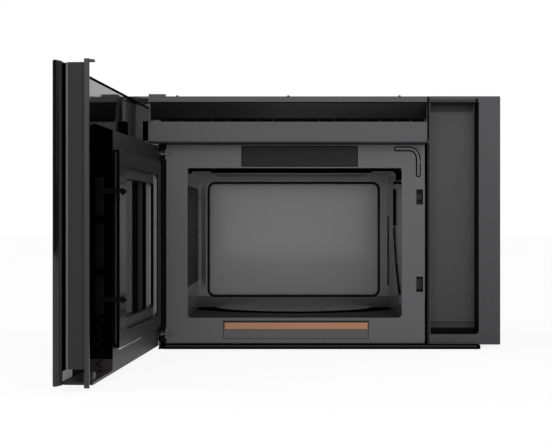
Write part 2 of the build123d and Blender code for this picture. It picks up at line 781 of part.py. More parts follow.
# Inner edge trim at the door's free end, taller than the end bar, with a small top catch.
with BuildPart() as end_trim:
    with BuildSketch(level(base + trim_base_rise)) as trim_section:
        span(trim_left, glass_right, bar_y, inner_y)
        fillet(trim_section.vertices().group_by(Axis.X)[-1], 1.2)
    extrude(amount=trim_top - base - trim_base_rise)
    with BuildSketch(level(trim_top - catch_height)):
        span(glass_right - catch_width, glass_right - 0.4, inner_y - 2, inner_y + catch_reach, radius=1)
    extrude(amount=catch_height)
door_pieces["end_trim"] = end_trim

# Window cover: raised panel over the microwave choke, with the stepped window recess.
with BuildPart() as window_cover:
    with BuildSketch(facing(inner_y)):
        span(cover_left, cover_right, cover_base, cover_top, radius=cover_corner)
    extrude(amount=-cover_thickness, taper=6)
    with BuildSketch(facing(inner_y)):
        span(tub_left, tub_right, tub_base, tub_top, radius=window_corner + tub_wall)
    extrude(amount=inner_y - pane_y)
    with BuildSketch(facing(cover_y)):
        span(window_left, window_right, window_base, window_top, radius=window_corner)
    extrude(amount=window_first_step, mode=Mode.SUBTRACT)
    with BuildSketch(facing(ledge_y)):
        span(
            window_left + window_ledge,
            window_right - window_ledge,
            window_base + window_ledge,
            window_top - window_ledge,
            radius=window_corner - 4,
        )
    extrude(amount=window_second_step, mode=Mode.SUBTRACT)
door_pieces["window_cover"] = window_cover

# Inner window pane behind the cover's ledge, and the steel screen behind that.
pane_inset = window_ledge - pane_overlap
with BuildPart() as window_pane:
    with BuildSketch(facing(pane_y)):
        span(
            window_left + pane_inset,
            window_right - pane_inset,
            window_base + pane_inset,
            window_top - pane_inset,
            radius=window_corner - 2,
        )
    extrude(amount=pane_thickness)
door_pieces["window_pane"] = window_pane

with BuildPart() as window_screen:
    with BuildSketch(facing(screen_y)):
        span(tub_left, tub_right, tub_base, tub_top, radius=window_corner + tub_wall)
    extrude(amount=screen_thickness)
    with BuildSketch(facing(screen_y)):
        span(
            window_left + pane_inset,
            window_right - pane_inset,
            window_base + pane_inset,
            window_top - pane_inset,
            radius=window_corner - 2,
        )
        span(
            window_left + window_ledge,
            window_right - window_ledge,
            window_base + window_ledge,
            window_top - window_ledge,
            radius=window_corner - 4,
            mode=Mode.SUBTRACT,
        )
    extrude(amount=-screen_gap)
door_pieces["window_screen"] = window_screen

# Latch hook bar: one upright with two hooks that reach through the flange's slots.
hook_root = inner_y - 20
hook_tip = flange_y + hook_reach
with BuildPart() as latch_hooks:
    with BuildSketch(across(slot_x - hook_thickness / 2)) as hook_profile:
        span(hook_root, hook_root + hook_bar_depth, lower_slot_z - 20, upper_slot_z + 20)
        for slot_z in (upper_slot_z, lower_slot_z):
            low = slot_z - hook_height / 2
            high = slot_z + hook_height / 2
            with BuildLine():
                Polyline(
                    (hook_root + 1, low + 2),
                    (hook_tip - 7, low + 3),
                    (hook_tip - 6, low),
                    (hook_tip, low + 4),
                    (hook_tip, high - 5),
                    (hook_tip - 4, high - 2),
                    (hook_root + 1, high - 2),
                    close=True,
                )
            make_face()
    extrude(amount=hook_thickness)
door_pieces["latch_hooks"] = latch_hooks

# Return spring between the hook bar's foot and a seat on the bottom bar.
spring_base = core_base + bar_thickness
spring_top = lower_slot_z - 20
spring_x = slot_x
spring_y = hook_root + hook_bar_depth / 2
spring_length = spring_top - spring_base
with BuildPart() as hook_spring:
    with BuildLine():
        spring_path = Helix(
            pitch=(spring_length - 2 * hook_spring_wire) / hook_spring_turns,
            height=spring_length - 2 * hook_spring_wire,
            radius=hook_spring_radius,
            center=(spring_x, spring_y, spring_base + hook_spring_wire),
        )
    with BuildSketch(Plane(origin=spring_path @ 0, z_dir=spring_path % 0)):
        RegularPolygon(hook_spring_wire, 6)
    sweep(is_frenet=True)
door_pieces["hook_spring"] = hook_spring

# Touch module behind the glass in the hollow: a shallow black box with a ribbed back.
module_right = trim_left - 20
module_left = slot_x + 22
with BuildPart() as touch_module:
    with BuildSketch(facing(frame_y)):
        span(module_left, module_right, core_base + 40, core_top - 30, radius=5)
    extrude(amount=-12, taper=4)
    with BuildSketch(facing(frame_y + 12)):
        with Locations(((module_left + module_right) / 2, (core_base + core_top) / 2)):
            with GridLocations(1, 40, 1, 6):
                Rectangle(module_right - module_left - 20, 2.5)
    extrude(amount=-2)
door_pieces["touch_module"] = touch_module

# ================================================================== latch switches
bracket_left = slot_x - 23
bracket_rear = flange_y + 36
bracket_right = column_left - skin - 1
switch_front = flange_y + hook_reach + body_gap + 0.1 + plunger_reach
switch_places = {
    "upper": upper_slot_z,
    "lower": lower_slot_z + 5,
    "monitor": lower_slot_z - 5,
}
bracket_top = upper_slot_z + slot_height / 2 + 14
bracket_base = lower_slot_z - slot_height / 2 - 14
with BuildPart() as latch_bracket:
    with BuildSketch(facing(bracket_rear)):
        span(bracket_left, bracket_right, bracket_base, bracket_top, radius=3)
    extrude(amount=2)
    with BuildSketch(facing(flange_y + sheet)):
        span(bracket_left, bracket_right, bracket_base, bracket_top, radius=3)
        span(bracket_left + 2, bracket_right - 2, bracket_base + 2, bracket_top - 2, mode=Mode.SUBTRACT)
    extrude(amount=-(bracket_rear - flange_y - sheet))
case_pieces["latch_bracket"] = latch_bracket

with BuildPart() as door_switches:
    for height in switch_places.values():
        with BuildSketch(level(height - switch_thickness / 2)):
            span(slot_x - 21, slot_x - 21 + switch_length, switch_front, bracket_rear - 2, radius=1)
        extrude(amount=switch_thickness)
        with BuildSketch(facing(switch_front)):
            with Locations((slot_x, height)):
                Circle(plunger_radius + running_fit)
        extrude(amount=-8, mode=Mode.SUBTRACT)
case_pieces["door_switches"] = door_switches

for place, height in switch_places.items():
    with BuildPart() as switch_plunger:
        with BuildSketch(facing(switch_front - plunger_reach)):
            with Locations((slot_x, height)):
                Circle(plunger_radius)
        extrude(amount=-(plunger_reach + 4.5))
        fillet(switch_plunger.faces().sort_by(Axis.Y)[0].edges(), 0.6)
    case_pieces[f"{place}_plunger"] = switch_plunger

# ================================================================== microwave feed
# Waveguide: a flat duct under the cavity, from the magnetron to the antenna.
magnetron_x = cavity_right + sheet + 60
duct_left = cavity_shift - 46
duct_right = magnetron_x + 47
duct_front = well_y - waveguide_width / 2
duct_rear = well_y + waveguide_width / 2
with BuildPart() as waveguide:
    with BuildSketch(level(waveguide_base)):
        span(duct_left, duct_right, duct_front, duct_rear, radius=4)
    extrude(amount=waveguide_height)
    with BuildSketch(level(waveguide_base + sheet)):
        span(
            duct_left + sheet,
            duct_right - sheet,
            duct_front + sheet,
            duct_rear - sheet,
            radius=3,
        )
    extrude(amount=waveguide_height - 2 * sheet, mode=Mode.SUBTRACT)
    with BuildSketch(level(waveguide_base - 1)):
        with Locations((cavity_shift, well_y)):
            Circle(shaft_radius + 0.6)
    extrude(amount=3, mode=Mode.SUBTRACT)
    with BuildSketch(level(cavity_underside - 2)):
        with Locations((cavity_shift, well_y)):
            Circle(coupling_radius)
        with Locations((magnetron_x, well_y)):
            Circle(11)
    extrude(amount=3, mode=Mode.SUBTRACT)
case_pieces["waveguide"] = waveguide

# Magnetron: anode block with cooling fins in a yoke, antenna dome below, filter box on top.
magnetron_base = cavity_underside
with BuildPart() as magnetron:
    with BuildSketch(level(magnetron_base)):
        with Locations((magnetron_x, well_y)):
            RectangleRounded(94, 82, 3)
    extrude(amount=2)
    with BuildSketch(facing(well_y + 38)):
        span(magnetron_x - 42, magnetron_x + 42, magnetron_base + 2, magnetron_base + 78)
        span(
            magnetron_x - 40,
            magnetron_x + 40,
            magnetron_base + 4,
            magnetron_base + 76,
            mode=Mode.SUBTRACT,
        )
    extrude(amount=76)
    with BuildSketch(level(magnetron_base + 4)):
        with Locations((magnetron_x, well_y)):
            Circle(20)
    extrude(amount=72)
    for fin in range(7):
        with BuildSketch(level(magnetron_base + 16 + 7 * fin)):
            with Locations((magnetron_x, well_y)):
                Rectangle(80, 64)
        extrude(amount=1.2)
    with BuildSketch(level(magnetron_base + 78)):
        with Locations((magnetron_x, well_y)):
            RectangleRounded(56, 46, 3)
    extrude(amount=30)
    with BuildSketch(level(magnetron_base)):
        with Locations((magnetron_x, well_y)):
            Circle(7.5)
    extrude(amount=-15)
    fillet(magnetron.faces().sort_by(Axis.Z)[0].edges(), 3)
case_pieces["magnetron"] = magnetron

# Antenna that turns under the glass floor, and its motor below the waveguide.
antenna_z = well_z + 3.5
motor_bore_depth = 8.0
with BuildPart() as antenna:
    with BuildSketch(level(antenna_z)):
        Circle(22)
        with PolarLocations(antenna_radius / 2, 3):
            RectangleRounded(antenna_radius, 34, 8)
        with PolarLocations(antenna_radius - 24, 3):
            SlotOverall(30, 8, mode=Mode.SUBTRACT)
    extrude(amount=1.5)
    with BuildSketch(level(waveguide_base - motor_bore_depth + 1)):
        Circle(shaft_radius)
    extrude(until=Until.NEXT)
antenna.part.position = (cavity_shift, well_y, 0)
case_pieces["antenna"] = antenna

with BuildPart() as antenna_motor:
    with BuildSketch(level(inside_base)):
        with Locations((cavity_shift, well_y)):
            Circle(25)
            Rectangle(62, 14)
    extrude(amount=waveguide_base - inside_base)
    with BuildSketch(level(waveguide_base)):
        with Locations((cavity_shift, well_y)):
            Circle(shaft_radius + running_fit)
    extrude(amount=-motor_bore_depth, mode=Mode.SUBTRACT)
case_pieces["antenna_motor"] = antenna_motor

# Power transformer: laminated core with two windings, on the base pan.
transformer_x = half - sheet - transformer_side_gap - transformer_width / 2
transformer_y = duct_rear + 60
with BuildPart() as transformer:
    with BuildSketch(facing(transformer_y + 28)):
        with Locations((transformer_x, inside_base + 38)):
            Rectangle(transformer_width, 76)
            with GridLocations(transformer_width / 2, 1, 2, 1):
                Rectangle(16, 44, mode=Mode.SUBTRACT)
    extrude(amount=56)
    for low, rise in ((17, 18), (38, 21)):
        with BuildSketch(level(inside_base + low)):
            with Locations((transformer_x, transformer_y)):
                RectangleRounded(60, 84, 12)
        extrude(amount=rise)
case_pieces["transformer"] = transformer

# High-voltage capacitor: oval can in a strap, two terminals on top.
capacitor_x = transformer_x + 10
capacitor_y = -50
with BuildPart() as capacitor:
    with BuildSketch(level(inside_base)):
        with Locations((capacitor_x, capacitor_y)):
            SlotOverall(54, 34)
    extrude(amount=84)
    with BuildSketch(level(inside_base + 30)):
        with Locations((capacitor_x, capacitor_y)):
            SlotOverall(57, 37)
    extrude(amount=14)
    with BuildSketch(level(inside_base + 84)):
        with Locations((capacitor_x, capacitor_y)):
            with GridLocations(22, 1, 2, 1):
                Rectangle(6.3, 1.5)
    extrude(amount=9)
case_pieces["capacitor"] = capacitor

# ================================================================== boards and sensors
board_x = inside_side - board_standoff
board_z = cavity_top - board_drop
board_front = flange_y + recess_depth + 35
with BuildPart() as control_board:
    with BuildSketch(across(board_x - 1.6)):
        span(
            board_front,
            board_front + board_length,
            board_z - board_height / 2,
            board_z + board_height / 2,
            radius=3,
        )
    extrude(amount=1.6)
    with BuildSketch(across(board_x)):
        with Locations((board_front + board_length / 2, board_z)):
            with GridLocations(board_length - 20, board_height - 20, 2, 2):
                Circle(3.5)
    extrude(amount=board_standoff)
    with BuildSketch(across(board_x - 1.6)):
        with Locations((board_front + 40, board_z + 60)):
            Rectangle(48, 42)
        with Locations((board_front + 40, board_z - 5), (board_front + 40, board_z - 45)):
            Rectangle(30, 22)
        with Locations((board_front + 110, board_z + 35)):
            Rectangle(60, 14)
    extrude(amount=-22)
    with BuildSketch(across(board_x - 1.6)):
        with Locations((board_front + 110, board_z - 35)):
            with GridLocations(28, 28, 2, 2):
                Circle(9)
    extrude(amount=-28)
case_pieces["control_board"] = control_board

line_filter_x = half - line_filter_side_gap - line_filter_width / 2
line_filter_y = -30 - line_filter_length / 2
with BuildPart() as line_filter:
    with BuildSketch(level(inside_top - 10)):
        with Locations((line_filter_x, line_filter_y)):
            RectangleRounded(line_filter_width, line_filter_length, 3)
    extrude(amount=1.6)
    with BuildSketch(level(inside_top - 8.4)):
        with Locations((line_filter_x, line_filter_y)):
            with GridLocations(line_filter_width - 10, line_filter_length - 10, 2, 2):
                Circle(3)
    extrude(amount=8.4)
    with BuildSketch(level(inside_top - 10)):
        with Locations((line_filter_x, line_filter_y - 20)):
            Circle(15)
            Circle(7, mode=Mode.SUBTRACT)
        with Locations((line_filter_x, line_filter_y + 25)):
            Rectangle(34, 16)
    extrude(amount=-18)
case_pieces["line_filter"] = line_filter

# Two thermal cut-outs: one on the cavity roof, one on its right wall.
with BuildPart() as thermal_cutouts:
    with BuildSketch(level(cavity_roof)):
        with Locations((cavity_shift + 60, well_y)):
            Circle(12)
    extrude(amount=2)
    with BuildSketch(level(cavity_roof + 2)):
        with Locations((cavity_shift + 60, well_y)):
            Circle(8)
    extrude(amount=9)
    with BuildSketch(across(cavity_right + sheet)):
        with Locations((well_y - 50, 60)):
            Circle(12)
    extrude(amount=2)
    with BuildSketch(across(cavity_right + sheet + 2)):
        with Locations((well_y - 50, 60)):
            Circle(8)
    extrude(amount=9)
case_pieces["thermal_cutouts"] = thermal_cutouts

# Cavity lamp in its holder behind the side cover's slots.
lamp_z = side_cover_top - 45
with BuildPart() as cavity_lamp:
    with BuildSketch(across(cavity_right + sheet)):
        with Locations((side_cover_rear - 60, lamp_z)):
            RectangleRounded(60, 46, 4)
    extrude(amount=3)
    with BuildSketch(across(cavity_right + sheet + 3)):
        with Locations((side_cover_rear - 60, lamp_z)):
            Circle(12)
    extrude(amount=22)
    fillet(cavity_lamp.faces().sort_by(Axis.X)[-1].edges(), 8)
case_pieces["cavity_lamp"] = cavity_lamp

# ================================================================== cooling fan
fan_left = cavity_right + sheet + fan_cavity_gap
fan_right = inside_side - fan_side_gap
fan_side = fan_right - fan_left
fan_radius = fan_side / 2 - fan_tip_gap
fan_x = (fan_left + fan_right) / 2
fan_z = cavity_top - fan_drop
fan_plate_y = -fan_depth
fan_motor_rear = -14.0
fan_post = fan_side - 20
with BuildPart() as fan_shroud:
    with BuildSketch(facing(fan_plate_y)):
        with Locations((fan_x, fan_z)):
            RectangleRounded(fan_side, fan_side, 6)
            Circle(fan_radius + 3, mode=Mode.SUBTRACT)
    extrude(amount=2)
    with BuildSketch(facing(fan_plate_y)):
        with Locations((fan_x, fan_z)):
            Circle(fan_radius + 5)
            Circle(fan_radius + 3, mode=Mode.SUBTRACT)
    extrude(amount=-16)
    with BuildSketch(facing(-sheet)):
        with Locations((fan_x, fan_z)):
            with GridLocations(fan_post, fan_post, 2, 2):
                Circle(4)
    extrude(amount=-fan_plate_y - sheet)
    # cross bars behind the blade that carry the motor
    with BuildSketch(facing(fan_motor_rear)):
        with Locations((fan_x, fan_z + fan_post / 2), (fan_x, fan_z - fan_post / 2)):
            Rectangle(fan_post, 8)
        with Locations((fan_x, fan_z)):
            Rectangle(14, fan_post)
    extrude(amount=2)
case_pieces["fan_shroud"] = fan_shroud

with BuildPart() as fan_motor:
    with BuildSketch(facing(fan_motor_rear - 2)):
        with Locations((fan_x, fan_z)):
            RectangleRounded(50, 50, 5)
    extrude(amount=24)
    with BuildSketch(facing(fan_motor_rear - 26)):
        with Locations((fan_x, fan_z)):
            Circle(14)
    extrude(amount=3)
    with BuildSketch(facing(fan_motor_rear - 29)):
        with Locations((fan_x, fan_z)):
            Circle(3 + running_fit)
    extrude(amount=-14, mode=Mode.SUBTRACT)
case_pieces["fan_motor"] = fan_motor

# Five-bladed fan: each blade is lofted from a steep root to a flatter tip.
fan_y = fan_plate_y + 8
with BuildPart() as fan_blade:
    with BuildSketch(Plane.XY.offset(14 - 2)):
        Rectangle(20, 1.6, rotation=38)
    with BuildSketch(Plane.XY.offset(fan_radius)):
        Rectangle(fan_radius * 0.63, 1.4, rotation=22)
    loft()
with BuildPart() as cooling_fan:
    with BuildSketch(facing(fan_y + 9)):
        with Locations((fan_x, fan_z)):
            Circle(14)
    extrude(amount=18)
    with BuildSketch(facing(fan_motor_rear - 29 + 12)):
        with Locations((fan_x, fan_z)):
            Circle(3)
    extrude(amount=fan_motor_rear - 29 + 12 - (fan_y + 9))
    for turn in range(fan_blades):
        blade_turn = Rotation(0, 360 / fan_blades * turn, 0)
        add(Pos(fan_x, fan_y, fan_z) * blade_turn * fan_blade.part)
case_pieces["cooling_fan"] = cooling_fan

# ================================================================== vent blower
scroll_inner = scroll_radius - scroll_wall
scroll_width = (exhaust_width + 2 * scroll_wall - blower_motor_width) / 2
blower_half = blower_motor_width / 2 + scroll_width
outlet_front = exhaust_y - exhaust_depth / 2
outlet_rear = exhaust_y + exhaust_depth / 2
outlet_top = inside_top - 1.5
with BuildPart() as blower_housing:
    with BuildSketch(across(-blower_half)):
        with Locations((blower_y, blower_z)):
            Circle(scroll_radius)
        span(outlet_front - scroll_wall, outlet_rear + scroll_wall, blower_z, outlet_top)
    extrude(amount=2 * blower_half)
    # scroll chambers on both sides, and the motor's bay between them, open to the rear
    for chamber_x in (-blower_half + scroll_wall, blower_motor_width / 2 + scroll_wall):
        with BuildSketch(across(chamber_x)):
            with Locations((blower_y, blower_z)):
                Circle(scroll_inner)
            span(outlet_front, outlet_rear, blower_z, outlet_top)
        extrude(amount=scroll_width - 2 * scroll_wall, mode=Mode.SUBTRACT)
    with BuildSketch(across(-blower_motor_width / 2)):
        with Locations((blower_y, blower_z)):
            Circle(scroll_inner - 6)
        span(blower_y, outlet_rear + 5, blower_z - 30, blower_z + 30)
    extrude(amount=blower_motor_width, mode=Mode.SUBTRACT)
    # outlet neck, open across the whole width
    with BuildSketch(level(outlet_top)):
        span(-exhaust_width / 2, exhaust_width / 2, outlet_front, outlet_rear)
    extrude(amount=-14, mode=Mode.SUBTRACT)
    # inlets and the shaft's way through
    with BuildSketch(across(-blower_half - 1)):
        with Locations((blower_y, blower_z)):
            Circle(wheel_radius - 8)
    extrude(amount=3, mode=Mode.SUBTRACT)
    with BuildSketch(across(blower_half + 1)):
        with Locations((blower_y, blower_z)):
            Circle(wheel_radius - 8)
    extrude(amount=-3, mode=Mode.SUBTRACT)
    with BuildSketch(across(-blower_motor_width / 2 - 3)):
        with Locations((blower_y, blower_z)):
            Circle(shaft_radius + 4)
    extrude(amount=blower_motor_width + 6, mode=Mode.SUBTRACT)
case_pieces["blower_housing"] = blower_housing

with BuildPart() as blower_motor:
    with BuildSketch(across(-blower_motor_width / 2)):
        with Locations((blower_y, blower_z)):
            Circle(32)
            with PolarLocations(32, 4, start_angle=45):
                Circle(5)
    extrude(amount=blower_motor_width)
    with BuildSketch(across(-blower_motor_width / 2)):
        with Locations((blower_y, blower_z)):
            Circle(shaft_radius + running_fit)
    extrude(amount=blower_motor_width, mode=Mode.SUBTRACT)
case_pieces["blower_motor"] = blower_motor

# Two squirrel-cage wheels on one shaft.
wheel_gap = (scroll_width - wheel_width) / 2
with BuildPart() as blower_wheels:
    with BuildSketch(across(-blower_half + wheel_gap)):
        Circle(shaft_radius)
    extrude(amount=2 * (blower_half - wheel_gap))
    for inner_x, way in ((blower_motor_width / 2 + wheel_gap, 1), (-blower_motor_width / 2 - wheel_gap, -1)):
        with BuildSketch(across(inner_x)):
            Circle(wheel_radius)
        extrude(amount=2 * way)
        with BuildSketch(across(inner_x)):
            Circle(shaft_radius + 5)
        extrude(amount=14 * way)
        with BuildSketch(across(inner_x + 2 * way)):
            with PolarLocations(wheel_radius - 5, wheel_blades):
                Rectangle(9, 1.2, rotation=32)
        extrude(amount=(wheel_width - 4) * way)
        with BuildSketch(across(inner_x + (wheel_width - 2) * way)):
            Circle(wheel_radius)
            Circle(wheel_radius - 9.5, mode=Mode.SUBTRACT)
        extrude(amount=2 * way)
blower_wheels.part.position = (0, blower_y, blower_z)
case_pieces["blower_wheels"] = blower_wheels

# ================================================================== exhaust damper
ring_gap = 0.2
ring_wall = 1.5
ring_base = inside_top - 12
flap_thickness = 1.2
flap_z = ring_base + 6
flap_gap = 0.6
flap_pivot_y = outlet_rear - ring_gap - ring_wall - 2.5
with BuildPart() as damper_frame:
    with BuildSketch(level(inside_top - 1.5)):
        with Locations((0, exhaust_y)):
            Rectangle(exhaust_width + 16, exhaust_depth + 16)
            Rectangle(exhaust_width - 4, exhaust_depth - 4, mode=Mode.SUBTRACT)
    extrude(amount=1.5)
    with BuildSketch(level(ring_base)):
        with Locations((0, exhaust_y)):
            Rectangle(exhaust_width - 2 * ring_gap, exhaust_depth - 2 * ring_gap)
    extrude(amount=top - ring_base)
    with BuildSketch(level(ring_base)):
        with Locations((0, exhaust_y)):
            Rectangle(
                exhaust_width - 2 * ring_gap - 2 * ring_wall,
                exhaust_depth - 2 * ring_gap - 2 * ring_wall,
            )
    extrude(amount=top - ring_base, mode=Mode.SUBTRACT)
    # stop under the flap's front edge, and the bores for its pins
    with BuildSketch(level(flap_z - body_gap - 1.5)):
        span(
            -exhaust_width / 2 + 1,
            exhaust_width / 2 - 1,
            outlet_front + ring_gap + 1,
            outlet_front + ring_gap + ring_wall + 4,
        )
    extrude(amount=1.5)
    with BuildSketch(across(-exhaust_width / 2)):
        with Locations((flap_pivot_y, flap_z + flap_thickness / 2)):
            Circle(1.5 + running_fit)
    extrude(amount=exhaust_width, mode=Mode.SUBTRACT)
case_pieces["damper_frame"] = damper_frame

flap_half = exhaust_width / 2 - ring_gap - ring_wall - flap_gap
with BuildPart() as damper_flap:
    with BuildSketch(level(flap_z)):
        span(
            -flap_half,
            flap_half,
            outlet_front + ring_gap + ring_wall + flap_gap,
            flap_pivot_y + 1.0,
        )
    extrude(amount=flap_thickness)
    with BuildSketch(level(flap_z + flap_thickness)):
        with Locations((0, exhaust_y)):
            with GridLocations(exhaust_width / 4, 1, 3, 1):
                Rectangle(2, exhaust_depth - 24)
    extrude(amount=1.5)
    with BuildSketch(across(-exhaust_width / 2 + ring_gap)):
        with Locations((flap_pivot_y, flap_z + flap_thickness / 2)):
            Circle(1.5)
    extrude(amount=exhaust_width - 2 * ring_gap)
case_pieces["damper_flap"] = damper_flap

# ================================================================== underside
for place, (x, y) in zip(("left", "right"), filter_places):
    with BuildPart() as grease_filter:
        with BuildSketch(level(base)):
            with Locations((x, y)):
                RectangleRounded(filter_width, filter_depth, 3)
        extrude(amount=filter_thickness - body_gap)
        with BuildSketch(level(base)):
            with Locations((x, y)):
                Rectangle(filter_width - 12, filter_depth - 12)
        extrude(amount=2.5, mode=Mode.SUBTRACT)
        with BuildSketch(level(base + 2.5)):
            with Locations((x, y)):
                with GridLocations((filter_width - 12) / 8, 1, 8, 1):
                    Rectangle(8, filter_depth - 14)
        extrude(amount=-1.2)
        with BuildSketch(level(base + 0.5)):
            with Locations((x, y - filter_depth / 2 + 16)):
                SlotOverall(26, 12)
                SlotOverall(18, 6, mode=Mode.SUBTRACT)
        extrude(amount=2)
    case_pieces[f"{place}_grease_filter"] = grease_filter

with BuildPart() as lamp_lenses:
    for x, y in lamp_places:
        with BuildSketch(level(base)):
            with Locations((x, y)):
                RectangleRounded(lamp_lens_width - 6.4, lamp_lens_depth - 6.4, 3.8)
        extrude(amount=sheet)
        with BuildSketch(level(inside_base)):
            with Locations((x, y)):
                RectangleRounded(lamp_lens_width, lamp_lens_depth, 4)
        extrude(amount=1.5)
case_pieces["lamp_lenses"] = lamp_lenses

with BuildPart() as cooktop_lamps:
    with BuildSketch(level(inside_base + 1.5)):
        with Locations(lamp_places):
            RectangleRounded(lamp_lens_width, lamp_lens_depth, 4)
    extrude(amount=lamp_box_height)
    with BuildSketch(level(inside_base + 1.5)):
        with Locations(lamp_places):
            RectangleRounded(lamp_lens_width - 6, lamp_lens_depth - 6, 3)
    extrude(amount=lamp_box_height - 4, mode=Mode.SUBTRACT)
    with BuildSketch(level(inside_base + lamp_box_height - 2.5)):
        with Locations(lamp_places):
            with GridLocations(22, 1, 3, 1):
                Rectangle(6, 6)
    extrude(amount=-2)
case_pieces["cooktop_lamps"] = cooktop_lamps

# ================================================================== fasteners and gland
with BuildPart() as cabinet_nuts:
    with BuildSketch(level(inside_top - 6)):
        with Locations((-bolt_spacing / 2, -bolt_rear), (bolt_spacing / 2, -bolt_rear)):
            RegularPolygon(6.5, 6)
            Circle(bolt_hole_radius - 0.4, mode=Mode.SUBTRACT)
    extrude(amount=6)
case_pieces["cabinet_nuts"] = cabinet_nuts

with BuildPart() as cord_grommet:
    with BuildSketch(level(inside_top - 8)):
        with Locations((half - 50, -45)):
            Circle(cord_bore_radius + skin + 1)
    extrude(amount=8 + sheet)
    with BuildSketch(level(inside_top - 2)):
        with Locations((half - 50, -45)):
            Circle(cord_bore_radius + skin + 3)
    extrude(amount=2)
    with BuildSketch(level(inside_top - 8)):
        with Locations((half - 50, -45)):
            Circle(cord_bore_radius)
    extrude(amount=8 + sheet, mode=Mode.SUBTRACT)
case_pieces["cord_grommet"] = cord_grommet

with BuildPart() as screws:
    with BuildSketch(level(rail_top)):
        with Locations(((rail_left + rail_right) / 2, flange_y - 20)):
            with GridLocations((rail_right - rail_left) * 0.4, 1, 3, 1):
                Circle(4)
    extrude(amount=2)
    fillet(screws.faces().filter_by(Axis.Z).group_by(Axis.Z)[-1].edges(), 1.2)
    for height in hinge_heights:
        with BuildSketch(facing(flange_y - 1.5)):
            with Locations((flange_left + 9.5, height + 5.2), (flange_left + 9.5, height - 5.2)):
                Circle(2.2)
        extrude(amount=1.2)
case_pieces["screws"] = screws

# ================================================================== write the pieces
for label, piece in case_pieces.items():
    piece.part.label = label
    export_step(piece.part, f"parts/{label}.step")

# The door's pieces are turned about the hinge axis from closed to open.
for label, piece in door_pieces.items():
    opened = piece.part.rotate(hinge_axis, -door_open)
    opened.label = label
    export_step(opened, f"parts/{label}.step")

print("pieces", len(case_pieces) + len(door_pieces))
print("hinge axis", round(pivot_x, 2), round(pivot_y, 2), "wing radius", round(wing_radius, 2))
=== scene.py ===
# %% [markdown]
# # An over-the-range microwave with its door open
# The solids of the oven come packed from CAD, each in its true place, and they are the frame
# of this scene. Here they get the finishes that a maker would give them: powder-coated steel,
# enamel, moulded ABS, toughened glass. What is too fine for CAD is worked out with numpy and
# laid on top: the screen's perforation, filter mesh, ribs, screws, seals and plates, and black
# strips of painted shade. Some finishes also carry painted light, shade and reflections.
# Lengths in the cells below are in millimetres, unless they say metres, and MM turns them into
# Blender's metres.

import json
import math
from types import SimpleNamespace

import bmesh
import bpy
import numpy as np
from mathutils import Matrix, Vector


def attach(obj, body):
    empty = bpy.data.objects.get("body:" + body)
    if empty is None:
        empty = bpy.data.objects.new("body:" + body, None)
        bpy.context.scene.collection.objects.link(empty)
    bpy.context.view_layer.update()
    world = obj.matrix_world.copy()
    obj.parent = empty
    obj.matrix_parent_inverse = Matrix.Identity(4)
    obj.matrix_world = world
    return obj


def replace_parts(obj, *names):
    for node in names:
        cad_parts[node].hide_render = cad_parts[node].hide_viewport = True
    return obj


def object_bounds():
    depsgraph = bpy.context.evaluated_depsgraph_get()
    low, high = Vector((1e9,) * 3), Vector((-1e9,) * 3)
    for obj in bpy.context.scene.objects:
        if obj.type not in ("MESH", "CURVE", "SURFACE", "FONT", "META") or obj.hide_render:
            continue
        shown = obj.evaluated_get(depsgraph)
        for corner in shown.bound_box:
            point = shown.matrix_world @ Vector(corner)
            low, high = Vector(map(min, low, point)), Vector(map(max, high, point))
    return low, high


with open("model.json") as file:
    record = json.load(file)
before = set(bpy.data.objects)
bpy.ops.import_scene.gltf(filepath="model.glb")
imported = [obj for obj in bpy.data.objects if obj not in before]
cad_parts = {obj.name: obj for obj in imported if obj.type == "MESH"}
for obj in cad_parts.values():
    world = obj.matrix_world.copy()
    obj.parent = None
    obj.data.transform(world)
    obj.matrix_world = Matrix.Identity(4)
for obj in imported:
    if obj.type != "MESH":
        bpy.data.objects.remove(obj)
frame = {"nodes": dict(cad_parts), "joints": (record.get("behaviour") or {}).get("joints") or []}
cad_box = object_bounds()
nodes = frame["nodes"]
MM = 0.001
print("CAD box mm", [[round(v / MM, 1) for v in corner] for corner in cad_box])

# %% [markdown]
# ## Where things are
# Every piece that is added sits on a CAD node, so its place is read from that node's mesh.
# The door was drawn closed and then turned open about its hinge. A piece on the door is
# easiest to think of on the closed door, so one function turns closed places into open ones
# and another reads a node's box with the turn undone.

# %% Boxes and the door's turn
def corners(points):
    """Lowest and highest x, y and z of an array of points."""
    return points.min(axis=0), points.max(axis=0)


def mesh_points(node):
    """All mesh points of a CAD node as one array in millimetres."""
    mesh = nodes[node].data
    flat = np.empty(len(mesh.vertices) * 3)
    mesh.vertices.foreach_get("co", flat)
    return flat.reshape(-1, 3) / MM


def box_mm(node):
    """The node's lowest and highest corner as two arrays in millimetres."""
    return corners(mesh_points(node))


hinge = next(j for j in frame["joints"] if j["name"] == "door_hinge")
PIVOT = np.array(hinge["pos_m"]) / MM
DOOR_TURN = -math.radians(hinge["range_deg"][1])


def opened(points, angle=DOOR_TURN):
    """Closed-door points turned about the upright hinge line by the angle a:
    x' = px + (x-px) cos a - (y-py) sin a, y' = py + (x-px) sin a + (y-py) cos a."""
    points = np.asarray(points, float)
    c, s = math.cos(angle), math.sin(angle)
    x, y = points[..., 0] - PIVOT[0], points[..., 1] - PIVOT[1]
    turned = points.copy()
    turned[..., 0] = PIVOT[0] + c * x - s * y
    turned[..., 1] = PIVOT[1] + s * x + c * y
    return turned


def closed_box(node):
    """The box of a door node as if the door were closed: its points turned by minus a."""
    return corners(opened(mesh_points(node), -DOOR_TURN))


print("hinge line at", PIVOT[:2], "turned", round(math.degrees(DOOR_TURN), 1), "degrees")

# %% [markdown]
# ## Camera
# The photograph was taken almost square on, from about 2.4 m in front of the oven and near
# its middle height. The lines that run into the cavity meet a little to the right of the
# picture's middle, so the lens is shifted by a few pixels instead of being turned.

